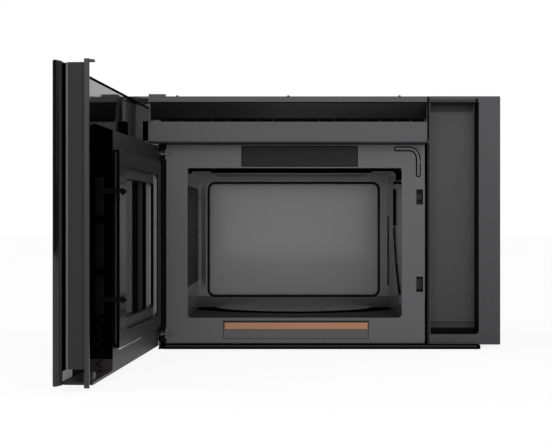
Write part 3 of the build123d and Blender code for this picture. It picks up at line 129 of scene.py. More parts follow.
# %% Camera
FRAME_WIDTH_PX = 552
camera_data = bpy.data.cameras.new("camera")
camera_data.sensor_width = 36.0
camera_data.lens = 87.1
camera_data.shift_x = -9.5 / FRAME_WIDTH_PX
camera_data.shift_y = -3.0 / FRAME_WIDTH_PX
camera_data.clip_start = 0.05
camera = bpy.data.objects.new("camera", camera_data)
camera.location = (0.0, -2.775, 0.00275)
camera.rotation_euler = (math.radians(90), 0, 0)
bpy.context.scene.collection.objects.link(camera)
bpy.context.scene.camera = camera
bpy.context.scene.view_settings.view_transform = "Standard"
print("camera lens", camera_data.lens, "mm at", tuple(camera.location))

# %% [markdown]
# ## Nodes and colours
# A finish is a small network of nodes. One function adds a node with its settings and links.
# Colours are written as the sRGB hex values that a picture shows, and one function turns them
# into the linear values that the renderer counts with.

# %% Node helper and colour helper
def add(tree, kind, inputs=None, **settings):
    """Adds one node. Settings are its own properties; inputs are values or outputs to link."""
    node = tree.nodes.new(kind)
    for key, value in settings.items():
        setattr(node, key, value)
    for key, value in (inputs or {}).items():
        if isinstance(value, bpy.types.NodeSocket):
            tree.links.new(value, node.inputs[key])
        else:
            node.inputs[key].default_value = value
    return node


def linear(hex_colour):
    """sRGB hex to linear RGBA: c/12.92 up to 0.04045, else ((c+0.055)/1.055)^2.4."""
    srgb = np.array([int(hex_colour[i : i + 2], 16) / 255 for i in (1, 3, 5)])
    value = np.where(srgb <= 0.04045, srgb / 12.92, ((srgb + 0.055) / 1.055) ** 2.4)
    return (*value.tolist(), 1.0)


print("mid grey #808080 is linear", round(linear("#808080")[0], 4))

# %% [markdown]
# ## Studio
# A white cove behind the oven and a dim room behind the photographer: rays that the camera
# sends straight out meet plain white. Rays that bounce off gloss meet white only on the
# backdrop's side and overhead, and a dim room on the camera's side, which is why the black
# pieces that face us look black while the door's inside mirrors white. The floor is pale and
# takes a faint shadow.

# %% World
world = bpy.data.worlds.new("studio")
bpy.context.scene.world = world
world.use_nodes = True
sky = world.node_tree
sky.nodes.clear()
path = add(sky, "ShaderNodeLightPath")
way = add(sky, "ShaderNodeTexCoord").outputs["Generated"]
way = add(sky, "ShaderNodeSeparateXYZ", {0: way})
# 1 towards the backdrop (+Y), falling to 0 just on the camera's side
rise = {"Value": way.outputs["Y"], "From Min": -0.12, "From Max": 0.02}
backdrop = add(sky, "ShaderNodeMapRange", rise, interpolation_type="SMOOTHSTEP").outputs[0]
# from the dim room at eye level to a pale ceiling
ROOM_DIM, CEILING_PALE = 0.10, 0.8
rise = {"Value": way.outputs["Z"], "From Min": 0.25, "From Max": 0.9}
rise |= {"To Min": ROOM_DIM, "To Max": CEILING_PALE}
overhead = add(sky, "ShaderNodeMapRange", rise).outputs[0]
mirrored = add(sky, "ShaderNodeMath", {0: backdrop, 1: overhead}, operation="MAXIMUM").outputs[0]
bounces = {0: path.outputs["Is Glossy Ray"], 1: path.outputs["Is Transmission Ray"]}
glossy = add(sky, "ShaderNodeMath", bounces, operation="MAXIMUM").outputs[0]
AMBIENT, PLAIN_WHITE = 0.62, 1.0
ambient, cove, white = (
    add(sky, "ShaderNodeBackground", {"Color": linear("#ffffff"), "Strength": strength}).outputs[0]
    for strength in (AMBIENT, mirrored, PLAIN_WHITE)
)
room = add(sky, "ShaderNodeMixShader", {0: glossy, 1: ambient, 2: cove}).outputs[0]
shown = {0: path.outputs["Is Camera Ray"], 1: room, 2: white}
room = add(sky, "ShaderNodeMixShader", shown).outputs[0]
add(sky, "ShaderNodeOutputWorld", {"Surface": room})

# %% Floor
FLOOR_GAP = 0.4 * MM
floor_z = cad_box[0].z - FLOOR_GAP
floor_mesh = bpy.data.meshes.new("floor")
FLOOR_HALF_WIDTH, FLOOR_NEAR, FLOOR_FAR = 12, -8, 16  # metres
floor_mesh.from_pydata(
    [
        (-FLOOR_HALF_WIDTH, FLOOR_NEAR, floor_z),
        (FLOOR_HALF_WIDTH, FLOOR_NEAR, floor_z),
        (FLOOR_HALF_WIDTH, FLOOR_FAR, floor_z),
        (-FLOOR_HALF_WIDTH, FLOOR_FAR, floor_z),
    ],
    [],
    [(0, 1, 2, 3)],
)
floor = bpy.data.objects.new("floor", floor_mesh)
bpy.context.scene.collection.objects.link(floor)
paper = bpy.data.materials.new("matt_white_paper_backdrop")
paper.use_nodes = True
sheet = paper.node_tree
sheet.nodes.clear()
path = add(sheet, "ShaderNodeLightPath")
rays = {0: path.outputs["Is Camera Ray"], 1: path.outputs["Is Glossy Ray"]}
seen = add(sheet, "ShaderNodeMath", rays, operation="MAXIMUM").outputs[0]
# most of what the camera sees is plain white, the rest is lit paper with its shadow
PLAIN_SHARE = 0.86
share = add(sheet, "ShaderNodeMath", {0: seen, 1: PLAIN_SHARE}, operation="MULTIPLY").outputs[0]
fibre = add(sheet, "ShaderNodeTexNoise", {"Scale": 900.0, "Detail": 2.0})
fibre = add(sheet, "ShaderNodeBump", {"Height": fibre.outputs[0], "Distance": 0.00004})
surface = {"Color": linear("#f4f4f4"), "Normal": fibre.outputs[0]}
lit = add(sheet, "ShaderNodeBsdfDiffuse", surface).outputs[0]
plain = add(sheet, "ShaderNodeEmission", {"Color": linear("#ffffff"), "Strength": 1.04}).outputs[0]
paper_mix = add(sheet, "ShaderNodeMixShader", {0: share, 1: lit, 2: plain}).outputs[0]
add(sheet, "ShaderNodeOutputMaterial", {"Surface": paper_mix})
floor_mesh.materials.append(paper)

# %% [markdown]
# Two softboxes give the level light from the front. A small one stands for the oven's own
# lamp, which comes on when the door opens: the photograph's cavity is brighter than its rim.
# A faint one brings light into the pocket beside the cavity, where the photograph shows grey.

# %% Softboxes
def softbox(name, place, aim, width, height, watts):
    """A rectangular soft light at place that faces the point aim, both in millimetres."""
    data = bpy.data.lights.new(name, "AREA")
    data.shape = "RECTANGLE"
    data.size, data.size_y = width * MM, height * MM
    data.energy = watts
    lamp = bpy.data.objects.new(name, data)
    lamp.location = np.array(place) * MM
    facing = Vector((np.array(aim, float) - np.array(place, float)).tolist())
    lamp.rotation_euler = facing.to_track_quat("-Z", "Y").to_euler()
    bpy.context.scene.collection.objects.link(lamp)
    return lamp


softbox("front_softbox", (200, -3600, 900), (0, -300, 0), 2600, 1600, 34.0)
softbox("left_softbox", (-2600, -1500, 1500), (0, -500, 0), 1400, 1400, 12.0)
softbox("oven_lamp", (20, -400, 0), (17, -120, -20), 320, 150, 0.15)
fill = softbox("pocket_fill", (-248, -405, 214), (-258, -254, 180), 20, 24, 0.07)
fill.visible_glossy = fill.visible_camera = False

# %% [markdown]
# ## Surfaces from numbers
# Every added piece is a surface worked out as whole arrays. Three kinds cover them all: a
# profile carried along a path (seals, frames, liners), a polygon given a thickness (plates),
# and a field of cells with a hole in each (screens and mesh). One function turns the arrays
# into an object, with doubled points merged and all faces turned outwards.

# %% From arrays to a piece
DOUBLE_REACH = 0.002 * MM


def piece(name, points, faces, coat, body, slot, smooth=False):
    """An object from points (n, 3) in millimetres and faces as index lists, with its finish.
    It sits at the origin, so its place is in its mesh, and it rides on a body."""
    mesh = bpy.data.meshes.new(name)
    mesh.from_pydata((np.asarray(points) * MM).tolist(), [], [list(map(int, f)) for f in faces])
    shell = bmesh.new()
    shell.from_mesh(mesh)
    bmesh.ops.remove_doubles(shell, verts=shell.verts, dist=DOUBLE_REACH)
    bmesh.ops.recalc_face_normals(shell, faces=shell.faces)
    shell.to_mesh(mesh)
    shell.free()
    mesh.polygons.foreach_set("use_smooth", [smooth] * len(mesh.polygons))
    mesh.materials.append(coat.material)
    new = bpy.data.objects.new(name, mesh)
    bpy.context.scene.collection.objects.link(new)
    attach(new, body)
    low, high = corners(np.asarray(points))
    print(name, len(mesh.polygons), "faces, size mm", np.round(high - low, 1))
    return new


def merged(*shells):
    """Several (points, faces) shells as one: face indices move up by the points before them."""
    points, faces, count = [], [], 0
    for shell_points, shell_faces in shells:
        shell_points = np.asarray(shell_points, float).reshape(-1, 3)
        points.append(shell_points)
        faces += [tuple(i + count for i in face) for face in shell_faces]
        count += len(shell_points)
    return np.concatenate(points), faces


# %% Profile along a path
def rounded_loop(x0, x1, z0, z1, radius, steps=6):
    """Closed loop of a rectangle with rounded corners: each corner is a quarter circle
    c + r (cos t, sin t) of steps + 1 points."""
    t = np.linspace(0, math.pi / 2, steps + 1)
    left, right, foot, head = x0 + radius, x1 - radius, z0 + radius, z1 - radius
    loop = []
    for i, (cx, cz) in enumerate(((right, head), (left, head), (left, foot), (right, foot))):
        angle = t + i * math.pi / 2
        loop.append(np.stack([cx + radius * np.cos(angle), cz + radius * np.sin(angle)], 1))
    return np.concatenate(loop)


SHARPEST_BEND = 0.4  # the cosine at which a bend's stretch stops growing


def carried(profile, path, normal, closed=True):
    """A closed profile (k, 2) carried along a path (n, 3): point = path + a side + b up, where
    up is the fixed normal and side = along x up. At a bend the side is stretched by
    1 / cos(half the bend) so that straight runs keep their width."""
    path, normal = np.asarray(path, float), np.asarray(normal, float)
    ahead = np.roll(path, -1, 0) - path
    behind = path - np.roll(path, 1, 0)
    if not closed:
        ahead[-1], behind[0] = behind[-1], ahead[0]
    ahead /= np.linalg.norm(ahead, axis=1)[:, None]
    behind /= np.linalg.norm(behind, axis=1)[:, None]
    along = ahead + behind
    along /= np.linalg.norm(along, axis=1)[:, None]
    stretch = 1 / np.clip((along * ahead).sum(1), SHARPEST_BEND, 1)
    side = np.cross(along, normal) * stretch[:, None]
    profile = np.asarray(profile, float)
    grid = path[:, None] + profile[None, :, :1] * side[:, None] + profile[None, :, 1:] * normal
    n, k = len(path), len(profile)
    i, j = np.meshgrid(np.arange(n if closed else n - 1), np.arange(k), indexing="ij")
    i2, j2 = (i + 1) % n, (j + 1) % k
    quads = np.stack([i * k + j, i2 * k + j, i2 * k + j2, i * k + j2], -1).reshape(-1, 4)
    faces = [tuple(q) for q in quads.tolist()]
    if not closed:
        faces += [tuple(range(k))[::-1], tuple(range((n - 1) * k, n * k))]
    return grid.reshape(-1, 3), faces


def bead_profile(width, height, steps=6):
    """Half-round section: (w/2 cos t, h sin t) for t from 0 to pi, closed by its flat foot."""
    t = np.linspace(0, math.pi, steps + 1)
    return np.stack([width / 2 * np.cos(t), height * np.sin(t)], 1)


# %% Polygon with a thickness
def oblong(u0, u1, v0, v1):
    """A plain rectangle as an outline."""
    return [(u0, v0), (u1, v0), (u1, v1), (u0, v1)]


def slab(outline, base, top, frame_of):
    """A flat outline (n, 2) given thickness between two heights. frame_of turns (u, v, w)
    into x, y, z."""
    outline = np.asarray(outline, float)
    n = len(outline)
    low = np.column_stack([outline, np.full(n, base)])
    high = np.column_stack([outline, np.full(n, top)])
    sides = [(i, (i + 1) % n, n + (i + 1) % n, n + i) for i in range(n)]
    ends = [tuple(range(n))[::-1], tuple(range(n, 2 * n))]
    return frame_of(np.concatenate([low, high])), ends + sides


def flat_ring(outer, inner, base, top, frame_of):
    """A frame between two loops with the same number of points, given thickness."""
    n = len(outer)
    rows = [np.column_stack([loop, np.full(n, h)]) for h in (base, top) for loop in (outer, inner)]
    i = np.arange(n)
    i2 = (i + 1) % n
    faces = np.concatenate([
        np.stack([i, n + i, n + i2, i2], 1),
        np.stack([2 * n + i, 2 * n + i2, 3 * n + i2, 3 * n + i], 1),
        np.stack([i, i2, 2 * n + i2, 2 * n + i], 1),
        np.stack([n + i, 3 * n + i, 3 * n + i2, n + i2], 1),
    ])
    return frame_of(np.concatenate(rows)), [tuple(f) for f in faces.tolist()]


# %% Plate full of holes
def holed_cells(outer, inner, open_sides, base, top, frame_of):
    """Cells with one hole each, given as the k points round each cell and round its hole, both
    (cells, k, 2): two faces, the hole's wall between them, and a wall on the open sides, which
    are two arrays (cell, side)."""
    cells, k = outer.shape[:2]
    flat = np.concatenate([outer, inner], 1)
    levels = [np.concatenate([flat, np.full((cells, 2 * k, 1), h)], 2) for h in (base, top)]
    points = np.concatenate(levels, 1).reshape(-1, 3)
    i = np.arange(k)
    i2 = (i + 1) % k
    one = np.concatenate([
        np.stack([i, k + i, k + i2, i2], 1),
        np.stack([2 * k + i, 2 * k + i2, 3 * k + i2, 3 * k + i], 1),
        np.stack([k + i, 3 * k + i, 3 * k + i2, k + i2], 1),
    ])
    faces = (np.arange(cells)[:, None, None] * 4 * k + one).reshape(-1, 4)
    cell, side = open_sides
    after = (side + 1) % k
    rim = cell[:, None] * 4 * k + np.stack([side, after, 2 * k + after, 2 * k + side], 1)
    return frame_of(points), [tuple(f) for f in np.concatenate([faces, rim]).tolist()]


ROW_SHARE = 0.866  # rows of a drilled screen are this share of the pitch apart


def perforated(u0, u1, v0, v1, pitch, hole, base, top, frame_of):
    """A plate whose cells, staggered row by row, each have one hole. A cell is the ring between
    the 8 points of its rectangle's rim and an octagon r (cos t, sin t) with r = hole."""
    cols = max(1, round((u1 - u0) / pitch))
    rows = max(1, round((v1 - v0) / (pitch * ROW_SHARE)))
    du, dv = (u1 - u0) / cols, (v1 - v0) / rows
    rim = np.array([(1, 0), (1, 1), (0, 1), (-1, 1), (-1, 0), (-1, -1), (0, -1), (1, -1)]) / 2.0
    angle = np.arange(8) * math.pi / 4
    ring = np.stack([np.cos(angle), np.sin(angle)], 1) * hole
    i, j = (grid.ravel() for grid in np.meshgrid(np.arange(cols), np.arange(rows), indexing="ij"))
    shift = (j % 2) * 0.5 * du - du / 4
    centre = np.stack([u0 + (i + 0.5) * du + shift, v0 + (j + 0.5) * dv], -1)[:, None]
    # the sides 7 and 0 of a cell look right, 1 and 2 up, 3 and 4 left, 5 and 6 down
    border = np.stack([i == cols - 1, j == rows - 1, i == 0, j == 0], 1)
    open_sides = np.nonzero(border[:, [0, 1, 1, 2, 2, 3, 3, 0]])
    outer = centre + rim * np.array([du, dv])
    return holed_cells(outer, centre + ring, open_sides, base, top, frame_of)


# %% Which way a flat piece lies
def facing_front(y):
    """u is X, v is Z and w is the height above the plane at y, towards the viewer (-Y)."""
    return lambda p: np.stack([p[:, 0], y - p[:, 2], p[:, 1]], 1)


def facing_right(x, sign=1):
    """u is Y, v is Z and w is the height above the wall at x, towards +X (or -X)."""
    return lambda p: np.stack([x + sign * p[:, 2], p[:, 0], p[:, 1]], 1)


def facing_up(z):
    """u is X, v is Y and w is the height above the plane at z."""
    return lambda p: np.stack([p[:, 0], p[:, 1], z + p[:, 2]], 1)


def on_door(y):
    """u is X, v is Z and w is the height above the closed door's inner side at y, towards +Y,
    then turned open."""
    return lambda p: opened(np.stack([p[:, 0], y + p[:, 2], p[:, 1]], 1))


# %% [markdown]
# ## Finishes
# A real surface is a base material under a coat or a moulded skin. Each finish here is one
# principled shader with fine grain, which moves the surface by hundredths of a millimetre and
# breaks up the gloss, as coats and mouldings do. Object coordinates are metres, so a noise
# scale of 1000 / size_mm gives grains of that size. Some finishes are painted further: a
# colour is laid over the last one wherever a mask says so. Such masks stand for soot, prints
# and the deep shade of narrow corners, and they sit at places on the oven, in metres.

# %% Base of a finish
def finish(name, colour, roughness, grain_mm=None, lift_mm=0.0, metallic=0.0, level=0.5,
           spread=0.08, detail=2.0, stretch=None, sockets=None):
    """A principled shader with grain. Noise with grains of grain_mm lifts the surface by up to
    lift_mm and moves the gloss: roughness = base + 2 spread (noise - 0.5). stretch makes the
    grain run one way. Returns the material with its tree, shader, place and noise."""
    material = bpy.data.materials.new(name)
    material.use_nodes = True
    tree = material.node_tree
    tree.nodes.clear()
    values = {"Base Color": linear(colour), "Roughness": roughness, "Metallic": metallic}
    values |= {"Specular IOR Level": level, **(sockets or {})}
    shader = add(tree, "ShaderNodeBsdfPrincipled", values)
    add(tree, "ShaderNodeOutputMaterial", {"Surface": shader.outputs[0]})
    place = way = add(tree, "ShaderNodeTexCoord").outputs["Object"]
    made = SimpleNamespace(material=material, tree=tree, shader=shader, place=place, axes=None)
    if grain_mm is None:
        return made
    if stretch:
        way = add(tree, "ShaderNodeMapping", {"Vector": place, "Scale": stretch}).outputs[0]
    grains = {"Vector": way, "Scale": 1000 / grain_mm, "Detail": detail}
    made.noise = add(tree, "ShaderNodeTexNoise", grains).outputs[0]
    lift = {"Height": made.noise, "Distance": lift_mm * MM, "Strength": 1.0}
    tree.links.new(add(tree, "ShaderNodeBump", lift).outputs[0], shader.inputs["Normal"])
    ends = {"To Min": max(roughness - spread, 0.0), "To Max": roughness + spread}
    rough = add(tree, "ShaderNodeMapRange", {"Value": made.noise, **ends})
    tree.links.new(rough.outputs[0], shader.inputs["Roughness"])
    return made


def dress(coat, *names):
    """Gives CAD nodes their finish, in their own material slots."""
    for name in names:
        mesh_object = nodes[name]
        if not mesh_object.material_slots:
            mesh_object.data.materials.append(coat.material)
        for material_slot in mesh_object.material_slots:
            material_slot.material = coat.material


# %% Masks and layers of colour
def band(tree, value, low, high, soft=0.0002):
    """1 where value lies between low and high, with soft ends: a ramp up times a ramp down."""
    ramp = {"Value": value, "From Min": low - soft, "From Max": low + soft}
    up = add(tree, "ShaderNodeMapRange", ramp).outputs[0]
    ramp = {"Value": value, "From Min": high - soft, "From Max": high + soft}
    down = add(tree, "ShaderNodeMapRange", {**ramp, "To Min": 1.0, "To Max": 0.0}).outputs[0]
    return add(tree, "ShaderNodeMath", {0: up, 1: down}, operation="MULTIPLY").outputs[0]


def split(coat, place):
    """Keeps the x, y and z of a coordinate for the masks of this finish."""
    parts = add(coat.tree, "ShaderNodeSeparateXYZ", {0: place})
    coat.axes = {axis: parts.outputs[axis.upper()] for axis in "xyz"}


def split_closed(coat):
    """The same with the door's turn undone, so that masks are written closed-door: move the
    hinge line to the origin, turn by minus the door's angle, move it back."""
    px, py = PIVOT[0] * MM, PIVOT[1] * MM
    to_origin = {"Vector": coat.place, "Location": (-px, -py, 0)}
    centred = add(coat.tree, "ShaderNodeMapping", to_origin).outputs[0]
    and_back = {"Vector": centred, "Rotation": (0, 0, -DOOR_TURN), "Location": (px, py, 0)}
    split(coat, add(coat.tree, "ShaderNodeMapping", and_back).outputs[0])


def region(coat, also=None, **sides):
    """1 inside a box: the product of one band for each axis named, as (low, high) or
    (low, high, soft) in metres, and of another mask where one is given."""
    if coat.axes is None:
        split(coat, coat.place)
    share = also
    for axis, limits in sides.items():
        inside = band(coat.tree, coat.axes[axis], *limits)
        if share is not None:
            both = {0: share, 1: inside}
            inside = add(coat.tree, "ShaderNodeMath", both, operation="MULTIPLY").outputs[0]
        share = inside
    return share


def paint(coat, first, *layers):
    """Lays colours over the first one: for each (s, new) in turn, c = c (1 - s) + new s."""
    tone = linear(first)
    for share, colour in layers:
        laid = {0: share, 6: tone, 7: linear(colour)}
        mix = add(coat.tree, "ShaderNodeMix", laid, data_type="RGBA", clamp_factor=True)
        tone = mix.outputs[2]
    coat.tree.links.new(tone, coat.shader.inputs["Base Color"])


def sheen(coat, away, there, *masks):
    """Specular level: there where one of the masks holds, away elsewhere. At 0 a dark corner
    gives back nothing, not even at a grazing angle."""
    share = masks[0]
    for mask in masks[1:]:
        either = {0: share, 1: mask}
        share = add(coat.tree, "ShaderNodeMath", either, operation="MAXIMUM").outputs[0]
    ends = {"Value": share, "To Min": away, "To Max": there}
    level = add(coat.tree, "ShaderNodeMapRange", ends).outputs[0]
    coat.tree.links.new(level, coat.shader.inputs["Specular IOR Level"])


# %% [markdown]
# ### Painted and plated steel
# The wrapper, pan and pocket are sheet steel with a powder coat, which is matt with a slight
# orange peel. The flange has a sprayed enamel, finely speckled, and the cavity a fired one,
# which is glassier. Parts that nobody sees are galvanised steel with its spangle. The coats
# could be plain colours, but their speckle and peel are what tells them from plastic.

# %% Case, hinges and pocket
coat = finish("powder_coated_steel_charcoal", "#262627", 0.45, 2.2, 0.03)
dress(coat, "outer_case")
# blackened zinc plate: dark, with a dull metallic edge to its gloss
black_zinc = finish("black_zinc_plated_steel", "#0c0c0d", 0.5, 1.2, 0.01, metallic=0.3)
dress(black_zinc, "hinge_leaves", "hinge_pins")
pan_coat = finish("powder_coated_steel_pan", "#1c1c1d", 0.5, 2.2, 0.02, level=0.2)
dress(pan_coat, "base_pan")

# painted light: the pocket is a pale grey so that the dim pocket reads grey; painted shade: a black
# band along the lip where it meets the flange
pocket_lightened = finish("pocket_steel_painted_light_and_shade", "#9a9a9c", 0.6, 2.0, 0.02)
lip = region(pocket_lightened, y=(-0.43, -0.4125))
paint(pocket_lightened, "#9a9a9c", (lip, "#0a0a0b"))
sheen(pocket_lightened, 0.5, 0.05, lip)
dress(pocket_lightened, "pocket_wall")

# sprayed enamel: an even speckle of two close greys
enamel = finish("sprayed_enamel_flange_grey", "#505052", 0.42, 2.4, 0.02)
paint(enamel, "#4a4a4c", (enamel.noise, "#565658"))
dress(enamel, "cavity_front", "hinge_brackets")

# %% Cavity
# fired enamel is smooth and glassy, so its grain is low and its gloss nearly even
oven = finish("fired_enamel_cavity_grey", "#6a6a6c", 0.2, 2.0, 0.012, spread=0.03)
# on the back wall the pressed panel inside the bead is painted lighter than the rim round it, as
# painted light, the rim is painted dark below the panel as shade, and a crease in its left part
# lies in shade
BACK_WALL, PRESSED_FACE = (-0.1225, -0.10), (-0.122, -0.10)
rim = region(oven, y=BACK_WALL)
panel = region(oven, x=(-0.148, 0.181, 0.004), z=(-0.141, 0.074, 0.004), y=PRESSED_FACE)
low_rim = region(oven, y=BACK_WALL, z=(-0.30, -0.146))
crease = region(oven, y=BACK_WALL, x=(-0.1668, -0.1585, 0.0008), z=(-0.125, 0.075, 0.01))
# painted shade: near-black under the ceiling's front part and in the upper front corner of the
# right wall
FRONT_PART = (-0.43, -0.325)
ceiling = region(oven, z=(0.0865, 0.2, 0.002), y=FRONT_PART)
corner = region(oven, x=(0.198, 0.21), z=(0.0755, 0.2, 0.001), y=(-0.42, -0.285, 0.004))
paint(
    oven,
    "#606062",
    (oven.noise, "#68686a"),
    (rim, "#646466"),
    (panel, "#707072"),
    (low_rim, "#343436"),
    (crease, "#242426"),
    (ceiling, "#0c0c0d"),
    (corner, "#0a0a0b"),
)
sheen(oven, 0.5, 0.0, corner, ceiling)
dress(oven, "cavity_box", "side_cover")

# %% Galvanised parts
# hot-dip zinc freezes in flakes of about 7 mm, each a little lighter or darker
SPANGLE_MM = 7.0
zinc = finish("galvanised_steel_spangle", "#a4a7aa", 0.4, 9.0, 0.01, metallic=1.0)
flakes = {"Vector": zinc.place, "Scale": 1000 / SPANGLE_MM}
spangle = add(zinc.tree, "ShaderNodeTexVoronoi", flakes).outputs["Color"]
paint(zinc, "#989b9e", (spangle, "#b0b3b6"))
dress(zinc, "back_panel", "waveguide", "magnetron", "antenna_motor", "fan_shroud", "fan_motor")
dress(zinc, "blower_housing", "blower_motor", "damper_frame", "cabinet_nuts")
# hard-drawn wire, brushed lengthwise by its die
spring_steel = finish("drawn_spring_steel", "#8c8e90", 0.3, 0.6, 0.004, 1.0, stretch=(1, 1, 6))

# %% [markdown]
# ### Mouldings
# The rail, column and edge trim are ABS from moulds with a fine spark-eroded grain, which
# takes the shine off. The grille and switches are plain black mouldings, the hooks, spring and
# touch module are painted near-black as shade, and the door's backing comes from a polished
# mould and mirrors the studio. Recesses that the photograph shows nearly black get their shade
# by a mask, because the plain light of the studio would reach into them more than the
# photographer's did.

# %% Rail and column
rail = finish("moulded_abs_spark_grain_grey", "#464648", 0.5, 1.2, 0.03)
dress(rail, "vent_rail", "flange_bead")

# painted light and shade: the column is painted lighter towards its top; its recess is painted dark
# at the top and foot as shade, with a painted highlight streak on the lower cove, and its right
# wall is painted black as shade
column = finish("moulded_abs_column_grey", "#3c3c3d", 0.5, 1.4, 0.02, level=0.35)
RECESS = (-0.4146, -0.30, 0.0003)
foot = region(column, z=(-0.1800, -0.1785, 0.0008), y=RECESS)
highlight_streak = region(column, z=(-0.1875, -0.1810, 0.0012), y=RECESS)
cove = region(column, z=(-0.30, -0.1885, 0.0008), y=RECESS)
wall = region(column, x=(0.3395, 0.345), y=RECESS)
head = region(column, z=(0.1985, 0.2175, 0.001), x=(0.255, 0.337))
rise = {"Value": column.axes["z"], "From Min": -0.21, "From Max": 0.16}
height = add(column.tree, "ShaderNodeMapRange", rise).outputs[0]
paint(
    column,
    "#38383a",
    (height, "#48484a"),
    (foot, "#0a0a0b"),
    (highlight_streak, "#2c2c2e"),
    (cove, "#0c0c0d"),
    (head, "#242425"),
    (wall, "#101011"),
)
sheen(column, 0.35, 0.05, foot, cove, wall)
dress(column, "right_column")

# %% Black mouldings
dark = finish("moulded_abs_black", "#0e0e0f", 0.5, 1.2, 0.02)
dress(dark, "door_switches", "thermal_cutouts", "blower_wheels", "cord_grommet")
# painted shade: the parts in the shade of slot and hollow are a near-black matt that gives hardly
# any light back
shade = finish("near_black_painted_shade", "#040404", 0.8, 1.2, 0.02, level=0.1)
dress(shade, "latch_hooks", "touch_module", "hook_spring")
slats = finish("moulded_abs_grille_black", "#0e0e0f", 0.6, 1.2, 0.02)
dress(slats, "vent_grille")
# smoother than the rest, so the edge trim takes a soft highlight
bar = finish("moulded_abs_end_trim", "#1e1e1f", 0.3, 1.6, 0.01)
dress(bar, "end_trim")
# polished mould: nearly a mirror, with the slow waves of a large flat moulding
gloss = finish("high_gloss_abs_black", "#060606", 0.06, 30.0, 0.01, spread=0.02)
dress(gloss, "glass_carrier")
# a film plate has a fine, even, dull skin
film = finish("matt_film_plate_black", "#1c1c1d", 0.55, 0.8, 0.004, level=0.2)
dress(film, "upper_plate", "lower_plate")
nylon = finish("moulded_white_nylon", "#d8d8d2", 0.5, 1.5, 0.02)
dress(nylon, "cavity_lamp", "cooling_fan", "cooktop_lamps")
dark_nylon = finish("moulded_dark_nylon", "#161617", 0.45, 1.5, 0.02)
dress(dark_nylon, "latch_bracket", "upper_plunger", "lower_plunger", "monitor_plunger")

# mica cover under the ceiling: painted black at its front edge as shade, which the photograph
# shows, and the mineral's own grey further back
cover_grey = finish("mica_ceiling_cover", "#020202", 0.8, 1.2, 0.02)
front = region(cover_grey, y=(*FRONT_PART, 0.006))
paint(cover_grey, "#5c5c5e", (front, "#020202"))
sheen(cover_grey, 0.5, 0.0, front)
dress(cover_grey, "ceiling_cover")

# %% Door frame
# grey end bar, the hollow painted black as shade, and a dark core that is lighter towards its foot
frame_abs = finish("moulded_abs_door_frame", "#1c1b1b", 0.5, 1.6, 0.01)
split_closed(frame_abs)
hollow = region(frame_abs, x=(0.2135, 0.3553), z=(-0.196, 0.30))
foot = region(frame_abs, z=(-0.30, -0.17, 0.03))
end_bar = region(frame_abs, x=(0.3557, 0.40))
paint(frame_abs, "#181818", (foot, "#302d2d"), (hollow, "#020202"), (end_bar, "#272727"))
sheen(frame_abs, 0.25, 0.0, hollow)
dress(frame_abs, "door_frame")

# %% Window cover
# textured faces with painted light and shade: the two stepped walls on the hinge side are painted
# black as shade and light on their outer parts where light falls, the end rim is painted black as
# shade, and the end wall carries two fine painted highlight lines. Walls are told from flat faces
# by the normal's share towards the door's end, found as a dot product
cover = finish("satin_abs_window_cover", "#161617", 0.4, 1.5, 0.01)
split_closed(cover)
TOWARDS_END = opened(np.array([(1.0, 0.0, 0.0)])) - opened(np.array([(0.0, 0.0, 0.0)]))
normal = add(cover.tree, "ShaderNodeTexCoord").outputs["Normal"]
compared = {0: normal, 1: tuple(TOWARDS_END[0])}
way = add(cover.tree, "ShaderNodeVectorMath", compared, operation="DOT_PRODUCT").outputs["Value"]
ramp = {"Value": way, "From Min": 0.6, "From Max": 0.9}
facing_end = add(cover.tree, "ShaderNodeMapRange", ramp).outputs[0]
rim = region(cover, x=(0.2042, 0.215, 0.0003))
end_wall = region(cover, facing_end, x=(0.2095, 0.215))
wall = region(cover, facing_end, x=(-0.17, -0.12))
paint(
    cover,
    "#161617",
    (rim, "#050505"),
    (region(cover, end_wall, y=(-0.4288, -0.4264, 0.0004)), "#303031"),
    (region(cover, end_wall, y=(-0.4210, -0.4188, 0.0004)), "#303031"),
    (wall, "#050505"),
    (region(cover, wall, y=(-0.4310, -0.4276, 0.0004)), "#8a8a8c"),
    (region(cover, wall, y=(-0.4226, -0.4200, 0.0004)), "#8a8a8c"),
    (region(cover, wall, y=(-0.4176, -0.41, 0.0004)), "#3c3c3e"),
)
sheen(cover, 0.3, 0.0, rim, wall)
dress(cover, "window_cover")

# %% [markdown]
# ### Glass, aluminium and electrics
# The door's glass and the window are toughened, and the oven's floor is ceramic glass. Seen
# aslant, the window mirrors the room in bands of light and dark. A true mirror would need that
# room round the oven, so the bands are painted on the pane as faint steps of grey. Metal parts
# keep the plain gloss of their metal, and the electric parts show copper and a green board.

# %% Glass
GLASS_IOR = {"IOR": 1.52}
# a pane's slow waves: 60 mm long and a hundredth of a millimetre high
glass = finish("toughened_black_glass", "#020203", 0.03, 60.0, 0.01, spread=0.01, sockets=GLASS_IOR)
dress(glass, "door_glass")

# painted reflection in bands: a faint blue-grey band near the door's end, darker bands, then a
# light band at the hinge
pane = finish("tinted_window_pane", "#28282a", 0.05, 60.0, 0.01, spread=0.01, sockets=GLASS_IOR)
split_closed(pane)
blue_grey_reflection = region(pane, x=(0.021, 0.30, 0.003))
middle = region(pane, x=(-0.082, -0.038, 0.004))
dark_band = region(pane, x=(-0.117, -0.082, 0.002))
light_edge = region(pane, x=(-0.30, -0.117, 0.002))
bands = (middle, "#303030"), (dark_band, "#020202"), (light_edge, "#7c7c7e")
paint(pane, "#0c0c0c", (blue_grey_reflection, "#38383b"), *bands)
sheen(pane, 0.0, 0.4, blue_grey_reflection)
dress(pane, "window_pane")
